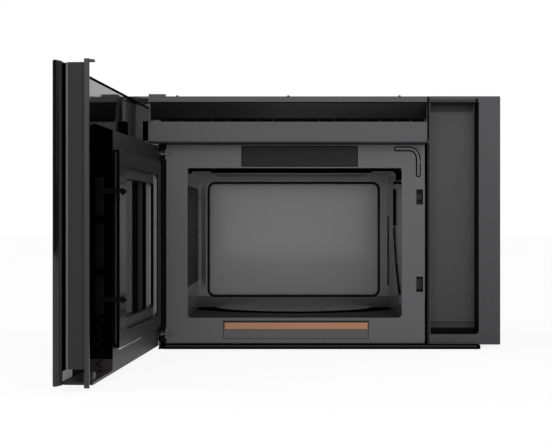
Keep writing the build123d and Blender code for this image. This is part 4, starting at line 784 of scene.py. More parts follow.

# dark ceramic glass with a painted reflection: paler inside a circle, black in a ring round it
tray = finish("ceramic_floor_glass", "#0c0c0d", 0.12, 60.0, 0.006, spread=0.02, sockets=GLASS_IOR)
REFLECTION_CENTRE, REFLECTION_RADIUS, RING_RADIUS = (0.017, -0.091, -0.168), 0.155, 0.212
offset = {0: tray.place, 1: REFLECTION_CENTRE}
offset = add(tray.tree, "ShaderNodeVectorMath", offset, operation="SUBTRACT").outputs[0]
radius = add(tray.tree, "ShaderNodeVectorMath", {0: offset}, operation="LENGTH").outputs["Value"]
disc = band(tray.tree, radius, -1.0, REFLECTION_RADIUS, 0.003)
ring = band(tray.tree, radius, REFLECTION_RADIUS, RING_RADIUS, 0.003)
paint(tray, "#3a3a3b", (disc, "#4a4a4c"), (ring, "#050505"))
sheen(tray, 0.0, 0.3, disc)
dress(tray, "floor_glass")

# clear pressed glass with the ripple of its mould
CLEAR = {"IOR": 1.5, "Transmission Weight": 1.0}
lens = finish("pressed_clear_glass", "#f4f6f6", 0.12, 4.0, 0.05, sockets=CLEAR)
dress(lens, "lamp_lenses")

# %% Metals and boards
# rolled sheet shows fine lines along the way it ran through the mill
alu = finish("rolled_aluminium", "#c2c4c6", 0.35, 1.0, 0.01, 1.0, stretch=(12, 1, 1))
dress(alu, "antenna", "capacitor", "damper_flap")
mesh_alu = finish("expanded_aluminium_mesh", "#b4b6b8", 0.4, 0.8, 0.01, 1.0)
dress(mesh_alu, "left_grease_filter", "right_grease_filter")
# loose granules: rough, dull and nearly black
carbon = finish("charcoal_granules", "#0a0a0a", 0.9, 2.5, 0.6, detail=4.0)
dress(carbon, "charcoal_filter")

# laminated core in the middle third, wound copper on both sides of it
WIRE_MM = 1.2
core_low, core_high = box_mm("transformer")
third = (core_high[0] - core_low[0]) / 3
copper = finish("wound_copper_and_lamination", "#a35c32", 0.35, metallic=1.0)
core = region(copper, x=((core_low[0] + third) * MM, (core_high[0] - third) * MM))
paint(copper, "#a35c32", (core, "#57585a"))
turns = {"Vector": copper.place, "Scale": 1000 / WIRE_MM / 6.28}
wire = add(copper.tree, "ShaderNodeTexWave", turns, bands_direction="X").outputs["Fac"]
bump = add(copper.tree, "ShaderNodeBump", {"Height": wire, "Distance": 0.0003})
copper.tree.links.new(bump.outputs[0], copper.shader.inputs["Normal"])
dress(copper, "transformer")

# green solder mask over copper tracks, which show through a little lighter
TRACK_MM = 6.0
board = finish("solder_masked_board", "#1c5a3a", 0.4, 3.0, 0.01)
tracks = {"Vector": board.place, "Scale": 1000 / TRACK_MM, "Mortar Size": 0.06}
tracks |= {"Color1": linear("#1c5a3a"), "Color2": linear("#194f34"), "Mortar": linear("#2e7a52")}
tracks = add(board.tree, "ShaderNodeTexBrick", tracks).outputs["Color"]
board.tree.links.new(tracks, board.shader.inputs["Base Color"])
dress(board, "control_board", "line_filter")
print("finishes", len(bpy.data.materials))

# %% [markdown]
# ## The window's screen
# Behind the window's pane a sheet with hundreds of small holes keeps the waves in and lets
# the eye through. A picture of dots would fail at the first close look, so the sheet is made
# of hexagonal cells with a hole each, inside a plain rim. Cells that meet share their corners,
# and only a cell side without a neighbour gets a wall.

# %% Honeycomb field of holes
def lone_sides(outer, grain):
    """(cell, side) of the cell sides that no neighbour shares: those whose middle, rounded to
    the grain, occurs once."""
    middles = (outer + np.roll(outer, -1, 1)) / 2
    keys = np.round(middles.reshape(-1, 2) / grain).astype(np.int64)
    _, index, count = np.unique(keys, axis=0, return_inverse=True, return_counts=True)
    return np.nonzero((count[index.ravel()] == 1).reshape(outer.shape[:2]))


def honeycomb(u0, u1, v0, v1, pitch, hole, base, top, frame_of):
    """Staggered hexagonal cells: six corners pitch / sqrt 3 away from each centre round a
    six-sided hole. Rows are sqrt 3/4 of the pitch apart."""
    row = pitch * math.sqrt(0.75)
    cols, rows = int((u1 - u0) / pitch), int((v1 - v0) / row)
    i, j = (grid.ravel() for grid in np.meshgrid(np.arange(cols), np.arange(rows), indexing="ij"))
    centre = np.stack([u0 + (i + 0.5 + 0.5 * (j % 2)) * pitch, v0 + (j + 0.67) * row], -1)[:, None]
    angle = np.arange(6) * math.pi / 3 + math.pi / 6
    around = np.stack([np.cos(angle), np.sin(angle)], 1)
    outer = centre + around * pitch / math.sqrt(3)
    sides = lone_sides(outer, pitch * 0.1)
    return holed_cells(outer, centre + around * hole, sides, base, top, frame_of)


# %% Screen
SCREEN_RIM, SCREEN_OVERLAP = 7.0, 1.0
HOLE_PITCH, HOLE_RADIUS = 3.0, 1.05
screen_low, screen_high = closed_box("window_screen")
x0, x1, z0, z1 = screen_low[0], screen_high[0], screen_low[2], screen_high[2]
rim_out = rounded_loop(x0, x1, z0, z1, 8)
rim_in = rounded_loop(x0 + SCREEN_RIM, x1 - SCREEN_RIM, z0 + SCREEN_RIM, z1 - SCREEN_RIM, 5)
on_screen = on_door(screen_low[1])
# blackened steel keeps a little metal in its gloss
screen_black = finish("black_oxide_screen_steel", "#141415", 0.4, 1.0, 0.01, metallic=0.6)
inset = SCREEN_RIM - SCREEN_OVERLAP
middle_z = (z0 + z1) / 2
for name, foot, head in (
    ("screen_holes_lower", z0 + inset, middle_z),
    ("screen_holes_upper", middle_z, z1 - inset),
):
    span = (x0 + inset, x1 - inset, foot, head)
    field = honeycomb(*span, HOLE_PITCH, HOLE_RADIUS, 0.3, 0.8, on_screen)
    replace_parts(piece(name, *field, screen_black, "door", "zinc_steel"), "window_screen")
rim = flat_ring(rim_out, rim_in, 0.0, screen_high[1] - screen_low[1], on_screen)
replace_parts(piece("screen_rim", *rim, screen_black, "door", "zinc_steel"), "window_screen")

# %% [markdown]
# ## Grease filters
# Two filters drop out of the base. Each is a folded aluminium frame round layers of expanded
# mesh, with a wire pull at one edge. The frame is a channel section carried round a rounded
# loop. Expanded mesh is slit and stretched sheet, so it is a field of diamond cells.

# %% Filters
DIAMOND_WIDE, DIAMOND_HIGH, SHEET_HALF = 7.0, 3.6, 0.3
STRAND_SHARE = 0.72  # a hole's size as a share of its diamond


def diamonds(u0, u1, v0, v1, wide, high, base, top, frame_of, shift=0.0):
    """Expanded mesh: diamond cells, each a ring between its four corners and a smaller
    diamond hole. Neighbours share corners, half a cell apart row by row."""
    cols, rows = int((u1 - u0) / wide) - 1, int((v1 - v0) / (high / 2)) - 1
    i, j = (grid.ravel() for grid in np.meshgrid(np.arange(cols), np.arange(rows), indexing="ij"))
    left = u0 + (u1 - u0 - (cols + 0.5) * wide) / 2 + shift
    centre = np.stack([left + (i + 0.5 + 0.5 * (j % 2)) * wide, v0 + (j + 1.0) * high / 2], -1)
    corner = np.array([(wide / 2, 0), (0, high / 2), (-wide / 2, 0), (0, -high / 2)])
    outer, inner = centre[:, None] + corner, centre[:, None] + corner * STRAND_SHARE
    return holed_cells(outer, inner, lone_sides(outer, high * 0.1), base, top, frame_of)


CHANNEL_HALF, CHANNEL_WALL = 4.0, 0.6
NET_INSET = 5.0
WIRE_RADIUS, PULL_HALF = 0.9, 14
turn = np.linspace(0, 2 * math.pi, 9)[:-1]
round_wire = np.stack([WIRE_RADIUS * np.cos(turn), WIRE_RADIUS * np.sin(turn)], 1)
for side in ("left", "right"):
    node, body = f"{side}_grease_filter", f"{side}_filter"
    low, high = box_mm(node)
    deep, half, wall = high[2] - low[2], CHANNEL_HALF, CHANNEL_WALL
    loop = rounded_loop(low[0] + half, high[0] - half, low[1] + half, high[1] - half, 3)
    path = np.column_stack([loop, np.full(len(loop), low[2])])
    inner_x = half - wall
    channel = [(half, 0), (-half, 0), (-half, deep), (half, deep), (half, deep - wall)]
    channel += [(-inner_x, deep - wall), (-inner_x, wall), (half, wall)]
    edge = carried(channel, path, (0, 0, 1))
    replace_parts(piece(f"{side}_filter_frame", *edge, alu, body, "aluminium"), node)
    span = (low[0] + NET_INSET, high[0] - NET_INSET, low[1] + NET_INSET, high[1] - NET_INSET)
    cell = (DIAMOND_WIDE, DIAMOND_HIGH, -SHEET_HALF, SHEET_HALF)
    for layer, shift in ((1, 0.0), (2, 2.0), (3, 1.0)):
        net = diamonds(*span, *cell, facing_up(low[2] + deep * layer / 4), shift)
        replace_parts(piece(f"{side}_filter_net_{layer}", *net, mesh_alu, body, "aluminium"), node)
    # wire pull: a flat loop let into the frame's front edge
    mid = (low[0] + high[0]) / 2
    pull = rounded_loop(mid - PULL_HALF, mid + PULL_HALF, low[1] + 2, low[1] + 16, 5)
    path = np.column_stack([pull, np.full(len(pull), low[2] + 1.0)])
    ring = carried(round_wire, path, (0, 0, 1))
    pull_piece = piece(f"{side}_filter_pull", *ring, spring_steel, body, "zinc_steel", True)
    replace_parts(pull_piece, node)

# %% [markdown]
# ## Lamp lenses and screws
# The cooktop lamps shine through pressed lenses whose fine ribs spread the light. Ribs this
# fine would weigh down a solid, so they are a wave in one direction of a grid. Screws have a
# domed head with a cross recess; each is one polar grid whose height gives dome and recess.

# %% Ribbed lenses
RIB_PITCH, RIB_HEIGHT, RIB_BASE, RIB_STEPS = 2.5, 0.35, 0.4, 120
lens_points = mesh_points("lamp_lenses")
halves = (lens_points[lens_points[:, 0] < 0], lens_points[lens_points[:, 0] > 0])
for side, cloud in zip(("left", "right"), halves):
    # underside over u: z = foot + base - h |sin(pi u / pitch)|, three points deep in v
    low, high = corners(cloud)
    u = np.linspace(low[0], high[0], RIB_STEPS + 1)
    v = np.linspace(low[1], high[1], 3)
    ribs = RIB_HEIGHT * np.abs(np.sin((u - low[0]) * math.pi / RIB_PITCH))
    uu, vv = np.meshgrid(u, v, indexing="ij")
    below = low[2] + RIB_BASE - np.repeat(ribs[:, None], 3, 1)
    under = np.stack([uu, vv, below], -1).reshape(-1, 3)
    over = np.stack([uu, vv, np.full_like(uu, high[2])], -1).reshape(-1, 3)
    a, b = np.meshgrid(np.arange(RIB_STEPS), np.arange(2), indexing="ij")
    quad = np.stack([a * 3 + b, a * 3 + b + 3, a * 3 + b + 4, a * 3 + b + 1], -1).reshape(-1, 4)
    n = len(under)
    # the rim runs along one long side, over the end and back along the other
    there, back = np.arange(RIB_STEPS + 1) * 3, np.arange(RIB_STEPS)[::-1] * 3 + 2
    ring = np.concatenate([there, [n - 2, n - 1], back, [1]])
    after = np.roll(ring, -1)
    wall = np.stack([ring, after, after + n, ring + n], 1)
    faces = np.concatenate([quad[:, ::-1], quad + n, wall])
    ribbed = np.concatenate([under, over]), [tuple(f) for f in faces.tolist()]
    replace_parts(piece(f"{side}_ribbed_lens", *ribbed, lens, "case", "clear_glass"), "lamp_lenses")


# %% Screws
ARM_HALF, ARM_REACH, ARM_DEPTH = 0.14, 0.62, 0.6  # shares of the head's radius and height


def screw_head(radius, height, rings=9, sectors=32):
    """Polar grid (r, t) of a pan head: dome height h (1 - (r/R)^2 / 2), less the depth of a
    cross recess along the two axes, closed by a flat foot."""
    r = np.linspace(0, radius, rings)
    t = np.arange(sectors) * 2 * math.pi / sectors
    rr, tt = np.meshgrid(r[1:], t, indexing="ij")
    arm = np.minimum(np.abs(np.sin(tt)), np.abs(np.cos(tt))) * rr
    in_cross = (arm < radius * ARM_HALF) & (rr < radius * ARM_REACH)
    top = height * (1 - (rr / radius) ** 2 / 2) - np.where(in_cross, ARM_DEPTH * height, 0.0)
    points = np.stack([rr * np.cos(tt), rr * np.sin(tt), top], -1).reshape(-1, 3)
    foot = np.stack([radius * np.cos(t), radius * np.sin(t), 0 * t], -1)
    points = np.concatenate([[(0, 0, 0.3 * height)], points, foot, [(0, 0, 0)]])
    s = np.arange(sectors)
    s2 = (s + 1) % sectors
    faces = np.stack([0 * s, 1 + s, 1 + s2], 1).tolist()
    for k in range(rings - 1):
        a = 1 + k * sectors
        b = a + sectors
        faces += np.stack([a + s, b + s, b + s2, a + s2], 1).tolist()
    last = 1 + rings * sectors
    faces += np.stack([last - sectors + s, last + 0 * s, last - sectors + s2], 1).tolist()
    return points, [tuple(f) for f in faces]


def clusters(points, reach):
    """Groups of points closer than reach to the group's first point, as a list of arrays."""
    left, found = points, []
    while len(left):
        near = np.linalg.norm(left - left[0], axis=1) < reach
        found.append(left[near])
        left = left[~near]
    return found


# %% Screws in their places
# one head for each cluster of points of the CAD screws: those on the hinge brackets face the
# front, those on top of the case face up
CASE_TOP_REGION, HEAD_SPAN = 200, 16.0  # Z from which a screw is on top, and a screw's reach
front_places, top_places = [], []
for cloud in clusters(mesh_points("screws"), HEAD_SPAN):
    low, high = corners(cloud)
    middle = (low + high) / 2
    if high[1] - low[1] > high[2] - low[2] or low[2] < CASE_TOP_REGION:
        front_places.append((middle[0], middle[2], low[1]))
    else:
        top_places.append((middle[0], middle[1], high[2]))
print("screws: front", np.round(front_places, 1).tolist(), "top", np.round(top_places, 1).tolist())
FRONT_HEAD, TOP_HEAD, TOP_SINK = (2.6, 1.1), (3.0, 1.2), 2.0  # heads as radius and height
shells = []
for x, z, y in front_places:
    points, faces = screw_head(*FRONT_HEAD)
    shells.append((facing_front(y + FRONT_HEAD[1])(points + (x, z, 0)), faces))
for x, y, z in top_places:
    points, faces = screw_head(*TOP_HEAD)
    shells.append((facing_up(z - TOP_SINK)(points + (x, y, 0)), faces))
# hot-blacked steel: dark, with a metallic edge to its gloss
black_screw = finish("black_oxide_screw", "#101011", 0.4, 0.5, 0.004, metallic=0.7)
all_heads = merged(*shells)
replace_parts(piece("case_screws", *all_heads, black_screw, "case", "zinc_steel", True), "screws")

# %% [markdown]
# ## Black lines and painted shade
# To the eye the oven is drawn by its dark lines: the groove round the back wall's panel, the
# gap round the column, the lip of the base pan, the edge of the raised bead by the corner. On
# the real oven these are grooves, edges and narrow gaps in full shade. Gaps would have to be cut
# into the CAD; instead the shade is painted: a strip of a few tenths of a millimetre in a black
# finish gives the same line, and it stays sharp from every side.

# %% Materials of seams
# black for painted shade: one with a soft low gloss, which also serves for a printed border, one
# with no gloss at all, and a dark grey one a little lighter
shade_and_print_black = finish("matt_black_shade_and_print", "#040404", 0.75, 1.0, 0.01, level=0.15)
shade_black = finish("flat_black_painted_shade", "#020202", 0.95, 0.7, 0.05, level=0.0, spread=0.03)
shade_grey = finish("dark_grey_painted_shade", "#161617", 0.6, 1.0, 0.01, level=0.2)

# %% [markdown]
# ### Inside the cavity
# The back wall is pressed: a groove runs round its panel and reads as a black line. The left
# wall has a field of vent holes, and the right one a sheet cover over the oven's lamp, bowed
# towards its foot. Holes and cover are built as sheets that lie on the enamelled box, so that
# its own solid stays simple, and the groove's black line is painted shade: a black half-round
# bead carried round a loop.

# %% Painted shade in the groove on the cavity's back wall
PANEL_SPAN, PANEL_RADIUS = (-152.9, 185.7, -146.2, 78.5), 13.0
BEAD_WIDTH, BEAD_HEIGHT = 4.6, 1.0
back_y = box_mm("floor_glass")[1][1] + 0.4
bead_loop = rounded_loop(*PANEL_SPAN, PANEL_RADIUS, 10)
path = np.column_stack([bead_loop[:, 0], np.full(len(bead_loop), back_y), bead_loop[:, 1]])
bead = carried(bead_profile(BEAD_WIDTH, BEAD_HEIGHT), path, (0, -1, 0))
piece("back_wall_groove_shade", *bead, shade_and_print_black, "case", "cavity_enamel", True)

# %% Vent panel on the cavity's left wall
CAVITY_WALL = 1.0
cavity_low, cavity_high = box_mm("cavity_box")
left_x, right_x = cavity_low[0] + CAVITY_WALL, cavity_high[0] - CAVITY_WALL
vent_black = finish("black_enamelled_vent_plate", "#050506", 0.4, 2.0, 0.01, level=0.2)
VENT_SPAN = (-411.0, -140.0, -114.0, 65.5)
VENT_PITCH, VENT_RADIUS = 5.0, 1.5
on_left_wall = facing_right(left_x)
plate = perforated(*VENT_SPAN, VENT_PITCH, VENT_RADIUS, 0.5, 1.1, on_left_wall)
piece("left_vent_plate", *plate, vent_black, "case", "cavity_enamel")
backing = slab(oblong(*VENT_SPAN), 0.1, 0.45, on_left_wall)
piece("left_vent_shade", *backing, shade_black, "case", "cavity_enamel")

# %% Right wall: cover over the lamp
# the cover's front edge runs straight down past the lamp and then bows forwards to its foot;
# the bow's points are (Y, Z) on the wall, read from the photograph and spread out evenly
COVER_FRONT, COVER_HEAD, COVER_FOOT, COVER_BACK = -252.5, 60.4, -146.0, -140.0
BOW = np.array([
    (COVER_FRONT, -11.4),
    (-278.0, -42.0),
    (-302.5, -74.0),
    (-332.0, -97.0),
    (-357.0, -114.0),
    (-389.0, -129.7),
])
COVER_SHEET = 1.6
t = np.linspace(0, len(BOW) - 1, 24)
bow = np.stack([np.interp(t, np.arange(len(BOW)), BOW[:, k]) for k in (0, 1)], 1)
rest = [(BOW[-1, 0], COVER_FOOT), (COVER_BACK, COVER_FOOT), (COVER_BACK, COVER_HEAD)]
outline = np.concatenate([[(COVER_FRONT, COVER_HEAD)], bow, rest])
on_right_wall = facing_right(right_x, -1)
sheet_piece = slab(outline, 0.2, COVER_SHEET, on_right_wall)
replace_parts(piece("side_cover_sheet", *sheet_piece, oven, "case", "cavity_enamel"), "side_cover")
# painted shade: a black band along the cover's straight front edge
strip = slab(rounded_loop(-286.0, -250.0, -6.0, 62.0, 3.0), 0.2, 2.2, on_right_wall)
piece("side_cover_edge_shade", *strip, shade_black, "case", "cavity_enamel")
# painted shade as black half-round beads: under the bow, along the wall's top and in the back
# corner
bow_line = np.column_stack([np.full(len(bow), right_x - COVER_SHEET), bow])
top_line = [(right_x, -234.0, 75.4), (right_x, -405.0, 70.5)]
corner_line = [(right_x - 0.4, back_y - 0.6, 12.0), (right_x - 0.4, back_y - 0.6, -125.0)]
for name, width, height, line in (
    ("side_cover_bow_edge", 15.0, 0.8, bow_line),
    ("side_wall_crease_shade", BEAD_WIDTH, 0.8, top_line),
    ("back_corner_shade", 5.5, 2.4, corner_line),
):
    edge = carried(bead_profile(width, height), line, (-1, 0, 0), closed=False)
    piece(name, *edge, shade_black, "case", "cavity_enamel", True)
LAMP_SPAN, LAMP_PITCH, LAMP_RADIUS = (-225.0, -175.0, 0.0, 38.0), 4.0, 1.2
window = perforated(*LAMP_SPAN, LAMP_PITCH, LAMP_RADIUS, 1.65, 2.2, on_right_wall)
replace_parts(piece("lamp_window", *window, oven, "case", "cavity_enamel"), "side_cover")

# %% [markdown]
# ### On the flange and the rail
# By the flange's upper right corner a raised bead bends round in an L with round ends; what
# the eye sees first is the thin painted shadow round it. Both are one outline, a run of points
# widened by a radius, in two widths. The other lines on the front are straight, so they are
# strips of painted shade, named by the gap or edge where the shade falls.

# %% Raised bead by the flange's upper right corner, with its dark edge
def capsule(run, radius, steps=8):
    """Outline of a run of points widened by radius, with half-round ends."""
    along = np.gradient(run, axis=0)
    along /= np.linalg.norm(along, axis=1)[:, None]
    side = np.stack([-along[:, 1], along[:, 0]], 1) * radius
    t = np.linspace(0, math.pi, steps + 1)[1:-1]

    def end(point, heading):
        angle = math.atan2(heading[1], heading[0]) - math.pi / 2 + t
        return point + radius * np.stack([np.cos(angle), np.sin(angle)], 1)

    ends = end(run[-1], along[-1]), end(run[0], -along[0])
    return np.concatenate([run - side, ends[0], (run + side)[::-1], ends[1]])


BEAD_RUN = np.array([
    (195.5, 130.2),
    (221.0, 130.2),
    (228.5, 127.0),
    (233.0, 121.0),
    (234.6, 113.0),
    (234.8, 84.6),
])
flange_y = box_mm("cavity_front")[0][1]
on_flange = facing_front(flange_y)
RAISED_HALF, SHADOW_HALF = 2.2, 4.4
shadow = slab(capsule(BEAD_RUN, SHADOW_HALF), 0.05, 0.4, on_flange)
piece("bead_shadow_line", *shadow, shade_black, "case", "flange_enamel")
raised = slab(capsule(BEAD_RUN, RAISED_HALF), 0.05, 1.6, on_flange)
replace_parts(piece("raised_bead", *raised, enamel, "case", "flange_enamel"), "flange_bead")
nub = slab(oblong(236.0, 246.0, 105.5, 109.0), 0.05, 0.9, on_flange)
piece("bead_nub", *nub, enamel, "case", "flange_enamel")

# %% Lip of the base pan
pan_low = box_mm("base_pan")[0]
pan_z, on_lip = pan_low[2], facing_front(pan_low[1])
# painted shade: a black strip along the pan's lip, and a rib of the pan's coat on it
lip = slab(rounded_loop(-216.8, 343.0, pan_z + 0.05, pan_z + 9.4, 3.5, 5), 0.02, 0.5, on_lip)
piece("pan_lip_shade", *lip, shade_black, "case", "case_steel")
lip = slab(rounded_loop(-211.5, 338.0, pan_z + 3.8, pan_z + 7.3, 1.6, 5), 0.3, 1.0, on_lip)
piece("pan_lip_rib", *lip, pan_coat, "case", "case_steel")

# %% Strips on the front
def strips(rows):
    """Thin strips on the flange's plane, one for each row of name, finish, material slot, the
    span (left, right, foot, head) and the heights of its back and front over the flange."""
    for name, coat, slot, span, (base, top) in rows:
        piece(name, *slab(oblong(*span), base, top, on_flange), coat, "case", slot)


FLANGE_LEFT, PAN_TOP, RAIL_FOOT = -213.0, -213.0, 139.7
GAP_LEFT, GAP_RIGHT = 247.0, 250.7  # between the flange and the column
OPENING_TOP, OPENING_LEFT, OPENING_RIGHT = 94.4, -173.0, 205.5
FLUSH, THIN, LOW, RAISED, PROUD = (0, 0.3), (0.05, 0.3), (0.05, 0.4), (0.05, 0.5), (0.1, 0.8)
gap, edge_shade_span = (GAP_LEFT, GAP_RIGHT, PAN_TOP, RAIL_FOOT), (GAP_RIGHT, 254.6, PAN_TOP, RAIL_FOOT)
# painted shade: dark strips by the column's edge and gap, along the flange's left edge and along
# the opening's top
strips((
    ("column_edge_shade", shade_grey, "rail_plastic", edge_shade_span, RAISED),
    ("column_gap_shade", shade_black, "rail_plastic", gap, FLUSH),
    ("flange_edge_shade", shade_black, "flange_enamel", (-212.9, -210.6, -211.5, 137.5), LOW),
    ("opening_top_shade", shade_black, "flange_enamel", (-172.0, 204.5, 92.9, 96.2), THIN),
))
# painted shade: the opening's two upper corners are filled square in black; each filler is a corner
# less a quarter round of 6 mm
CORNER_RADIUS = 6.0
t = np.linspace(0, math.pi / 2, 7)
for side, corner_x, way_in in (("left", OPENING_LEFT, 1.0), ("right", OPENING_RIGHT, -1.0)):
    across = corner_x + way_in * CORNER_RADIUS * (1 - np.cos(t))
    down = OPENING_TOP - CORNER_RADIUS * (1 - np.sin(t))
    filler = np.concatenate([[(corner_x, OPENING_TOP + 0.2)], np.stack([across, down], 1)])
    filler = slab(filler, *THIN, on_flange)
    piece("opening_corner_shade_" + side, *filler, shade_black, "case", "flange_enamel")
# painted shade: a black line on the column's right wall and one under the rail
strips((
    ("column_wall_line", shade_and_print_black, "rail_plastic", (335.9, 340.4, 212.6, 219.0), LOW),
    ("rail_foot_shade", shade_and_print_black, "rail_plastic", (FLANGE_LEFT, GAP_LEFT, 137.7, 140.2), PROUD),
))
rail_low, rail_high = box_mm("vent_rail")
# painted shade: a black strip on the rail's end side and a black line down its front end
side_gap = oblong(rail_low[1] + 0.5, -416.0, 142.0, 218.5)
side_gap = slab(side_gap, 0.05, 1.6, facing_right(rail_high[0]))
piece("rail_side_shade", *side_gap, shade_and_print_black, "case", "rail_plastic")
line = oblong(rail_high[0] - 2.2, rail_high[0], 141.0, 219.0)
line = slab(line, *FLUSH, facing_front(rail_low[1]))
piece("rail_end_line", *line, shade_and_print_black, "case", "rail_plastic")

# %% [markdown]
# ### Visor, shade block and film plates
# In the rail's slot a shallow scoop hangs from the top edge and keeps the eye off the grille,
# which stays open at the scoop's foot. It is one curved section carried along the rail. At the
# rail's left end a black block stands for the shade there, as painted shade. Two film plates are
# stuck to the flange; they are bare here, with a plain border, band and field as thin prints on the
# CAD's plates.

# %% Visor in the rail's slot
# its section is y(t) = y0 + depth sin(pi t / 2), z(t) = top - fall t
SLOT_TOP, SLOT_FALL, SCOOP_DEPTH, SCOOP_WALL, SCOOP_SET_BACK = 208.6, 28.0, 6.5, 0.9, 2.0
t = np.linspace(0, 1, 14)
scoop_y = rail_low[1] + SCOOP_SET_BACK + SCOOP_DEPTH * np.sin(math.pi * t / 2)
scoop_z = SLOT_TOP - SLOT_FALL * t
front_side = np.stack([scoop_y, scoop_z], 1)
back_side = np.stack([scoop_y + SCOOP_WALL, scoop_z], 1)[::-1]
section = np.concatenate([front_side, back_side])
scoop = slab(section, -234.5, 244.5, lambda p: np.stack([p[:, 2], p[:, 0], p[:, 1]], 1))
# the moulding darkens towards its foot, where less light gets in
visor = finish("moulded_abs_slot_visor", "#161617", 0.6, 1.2, 0.02, level=0.25)
split(visor, visor.place)
rise = {"Value": visor.axes["z"], "From Min": 0.181, "From Max": 0.208}
paint(visor, "#0a0a0b", (add(visor.tree, "ShaderNodeMapRange", rise).outputs[0], "#18181a"))
piece("rail_slot_visor", *scoop, visor, "case", "rail_plastic", True)

# %% Painted shade block on the rail's left end
end_shade_block = oblong(rail_low[0] - 11.0, rail_low[0], 144.0, 177.0)
end_shade_block = slab(end_shade_block, 0.0, 26.0, facing_front(flange_y - 4.0))
piece("rail_end_shade_block", *end_shade_block, shade_black, "case", "rubber")

# %% Bare film plates on the flange
# screen-printed film has a flat, even colour with a soft gloss
tan_film = finish("printed_film_tan_band", "#ac7a58", 0.5, 0.8, 0.004)
grey_film = finish("printed_film_grey", "#4c4a4b", 0.45, 0.8, 0.004)
BORDER = 1.6
low, high = box_mm("upper_plate")
outer = rounded_loop(low[0], high[0], low[2], high[2], 0.8, 2)
inner = (low[0] + BORDER, high[0] - BORDER, low[2] + BORDER, high[2] - BORDER)
border = flat_ring(outer, rounded_loop(*inner, 0.6, 2), 0.45, 0.6, on_flange)
piece("upper_plate_border", *border, shade_and_print_black, "case", "plate_film")
low, high = box_mm("lower_plate")
x0, x1, z0, z1 = low[0], high[0], low[2], high[2]
band_span, field_span = (x0 + 2.5, x1 - 2, z1 - 15, z1 - 3.5), (x0 + 1, x1 - 1, z0 + 1, z1 - 15.6)
strips((
    ("lower_plate_band", tan_film, "plate_film", band_span, (0.45, 0.62)),
    ("lower_plate_field", grey_film, "plate_film", field_span, (0.45, 0.6)),
))

# %% [markdown]
# ## Finer pieces on the door
# The door's edge trim is a thin folded angle, not a block, so it is drawn here as its section
# and given the door's height. The hollow between the core and the end bar and the finger gap
# are lined black as painted shade, the finger gap has a return lip that a hand closes on, and a
# seal lies on the window's ledge.
# Every section is written on the closed door, in X and Y, and turned open with it.

# %% Edge trim as an angle
# a section in closed X and Y that is carried up Z needs only the door's turn, so its way of
# lying is the function opened itself
TRIM_WALL, TRIM_FOLD, TRIM_CUT = 1.5, 3.0, 0.6
trim_low, trim_high = closed_box("end_trim")
trim_high[0] -= 0.06  # keeps the turned piece inside the solids' box
near, end, face = trim_low[0], trim_high[0], trim_low[1]
inner_face = trim_high[1] - 6.0
angle_section = [
    (near, face),
    (end - TRIM_CUT, face),
    (end, face + TRIM_CUT),
    (end, inner_face - TRIM_CUT),
    (end - TRIM_CUT, inner_face),
    (end - TRIM_FOLD, inner_face),
    (end - TRIM_FOLD, face + TRIM_WALL),
    (near, face + TRIM_WALL),
]
angle_piece = slab(angle_section, trim_low[2], trim_high[2], opened)
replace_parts(piece("edge_trim_angle", *angle_piece, bar, "door", "door_plastic"), "end_trim")
catch = [
    (end - 11.0, inner_face - 1.0),
    (end - 0.5, inner_face - 1.0),
    (end - 0.5, trim_high[1] - 1.0),
    (end - 3.0, trim_high[1]),
    (end - 11.0, trim_high[1]),
]
catch_piece = slab(catch, trim_high[2] - 4.0, trim_high[2] - 1.0, opened)
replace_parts(piece("edge_trim_catch", *catch_piece, bar, "door", "door_plastic"), "end_trim")

# %% Finger gap, end bar and hollow
carrier_low, carrier_high = closed_box("glass_carrier")
end, back = carrier_high[0], carrier_high[1]  # the backing plate's free end and inner side
foot, head = carrier_low[2] + 1, carrier_high[2] - 1
BAR_LEFT, BAR_RIGHT, BAR_BASE, BAR_TOP = 356.0, 368.0, -194.35, 213.75
HOLLOW_LEFT, HOLLOW_FOOT, HOLLOW_HEAD = 217.0, -197.0, 131.0
lip_outline = [
    (end - 9.0, back),
    (end - 0.4, back),
    (end - 0.4, back + 3.6),
    (end - 3.0, back + 3.6),
    (end - 3.0, back + 1.2),
    (end - 9.0, back + 1.2),
]
# the lip is a plain dark moulding; the bar's edge is a paler strip, a painted highlight for the
# light its rounded edge catches
return_lip = finish("moulded_abs_return_lip", "#1e1e1f", 0.5, 1.4, 0.01, level=0.15)
edge_highlight = finish("painted_highlight_edge", "#5a5a5b", 0.4, 1.2, 0.006)
wall = BAR_LEFT + 3.1
# painted shade: black sheets in the finger gap, on its wall and in the hollow
for name, outline, base, top, coat in (
    ("finger_gap_lip", lip_outline, foot, head, return_lip),
    ("finger_gap_shade", oblong(wall + 0.4, end - 10, back + 0.1, back + 0.6), foot, head, shade_black),
    ("finger_gap_wall_shade", oblong(wall, wall + 0.5, back + 0.6, -455.3), BAR_BASE, BAR_TOP - 1, shade_black),
    (
        "end_bar_edge_highlight",
        oblong(BAR_RIGHT - 2.0, BAR_RIGHT + 0.4, -457.4, -454.8),
        BAR_BASE + 0.5,
        BAR_TOP - 0.5,
        edge_highlight,
    ),
    (
        "hollow_shade_sheet",
        oblong(HOLLOW_LEFT, BAR_LEFT - 0.5, back + 0.1, back + 0.5),
        HOLLOW_FOOT,
        HOLLOW_HEAD,
        shade_black,
    ),
):
    piece(name, *slab(outline, base, top, opened), coat, "door", "door_plastic")
# painted reflection: a light grey patch at the foot of the backing plate stands for the floor's
# light thrown back there
floor_reflection_paint = finish("painted_floor_reflection", "#c4c4c6", 0.45, 6.0, 0.02)
on_backing = on_door(back)
reflection_strip = slab(oblong(300.0, end - 1.0, carrier_low[2] + 4.2, -198.0), 0.1, 0.4, on_backing)
piece("backing_foot_reflection", *reflection_strip, floor_reflection_paint, "door", "aluminium")

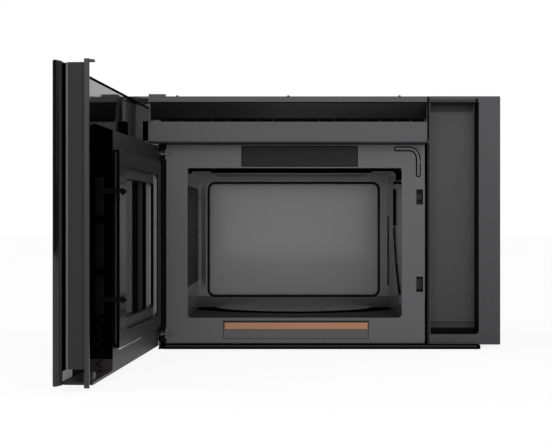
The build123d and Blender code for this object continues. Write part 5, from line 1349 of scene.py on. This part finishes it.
# %% Seal on the window's ledge, and the print beside the window
WINDOW_LEFT, WINDOW_RIGHT, WINDOW_FOOT, WINDOW_HEAD = -165.0, 150.0, -159.25, 82.75
LEDGE_Y, LEDGE = -422.4, 16.0


def window_loop(inset, radius):
    """The window's outline, smaller by inset on every side."""
    across = (WINDOW_LEFT + inset, WINDOW_RIGHT - inset)
    return rounded_loop(*across, WINDOW_FOOT + inset, WINDOW_HEAD - inset, radius, 8)


seal = flat_ring(window_loop(0.4, 12), window_loop(LEDGE - 0.5, 8), 0.05, 0.9, on_door(LEDGE_Y))
# grey silicone, lit along the hinge side as the photograph shows it
seal_grey = finish("grey_silicone_ledge_seal", "#38383a", 0.5, 1.0, 0.01, level=0.2)
split_closed(seal_grey)
paint(seal_grey, "#38383a", (region(seal_grey, x=(-0.20, -0.140, 0.001)), "#8a8a8c"))
piece("window_ledge_seal", *seal, seal_grey, "door", "rubber")
# painted reflection: a margin carries the pane's painted reflection from the window's near edge to
# the cover's end
margin_reflection = finish("painted_window_margin_reflection", "#3a3a3d", 0.12, 40.0, 0.01, spread=0.02)
cover_low, cover_high = closed_box("window_cover")
margin = rounded_loop(WINDOW_RIGHT + 1.0, 203.4, WINDOW_FOOT + 6.0, WINDOW_HEAD - 6.0, 5.0)
margin = slab(margin, -0.25, -0.05, on_door(cover_high[1] + 0.31))
piece("window_margin_reflection", *margin, margin_reflection, "door", "black_glass")

# %% Lines along the backing plate and under the cover
# painted highlight: a thin bright line at the cover's foot, under a matt face; the black lines
# along the backing plate are painted shade
foot_highlight = finish("painted_highlight_cover_edge", "#d0d0d2", 0.2, 1.2, 0.004, metallic=0.6)
LINE = 3.8
foot, head, near, far = carrier_low[2], carrier_high[2], carrier_low[0] + 1, BAR_LEFT - 1
under_cover = oblong(20.0, cover_high[0] - 8.0, cover_low[2] - 2.2, cover_low[2] + 0.2)
for name, outline, base, top, lie, coat in (
    ("backing_top_line", oblong(near, far, head - LINE, head), 0.05, 0.5, on_backing, shade_black),
    ("backing_foot_line", oblong(near, far, foot, foot + LINE), 0.05, 0.5, on_backing, shade_black),
    ("cover_foot_highlight", under_cover, -1.2, 0.0, on_door(cover_high[1]), foot_highlight),
):
    piece(name, *slab(outline, base, top, lie), coat, "door", "door_plastic")
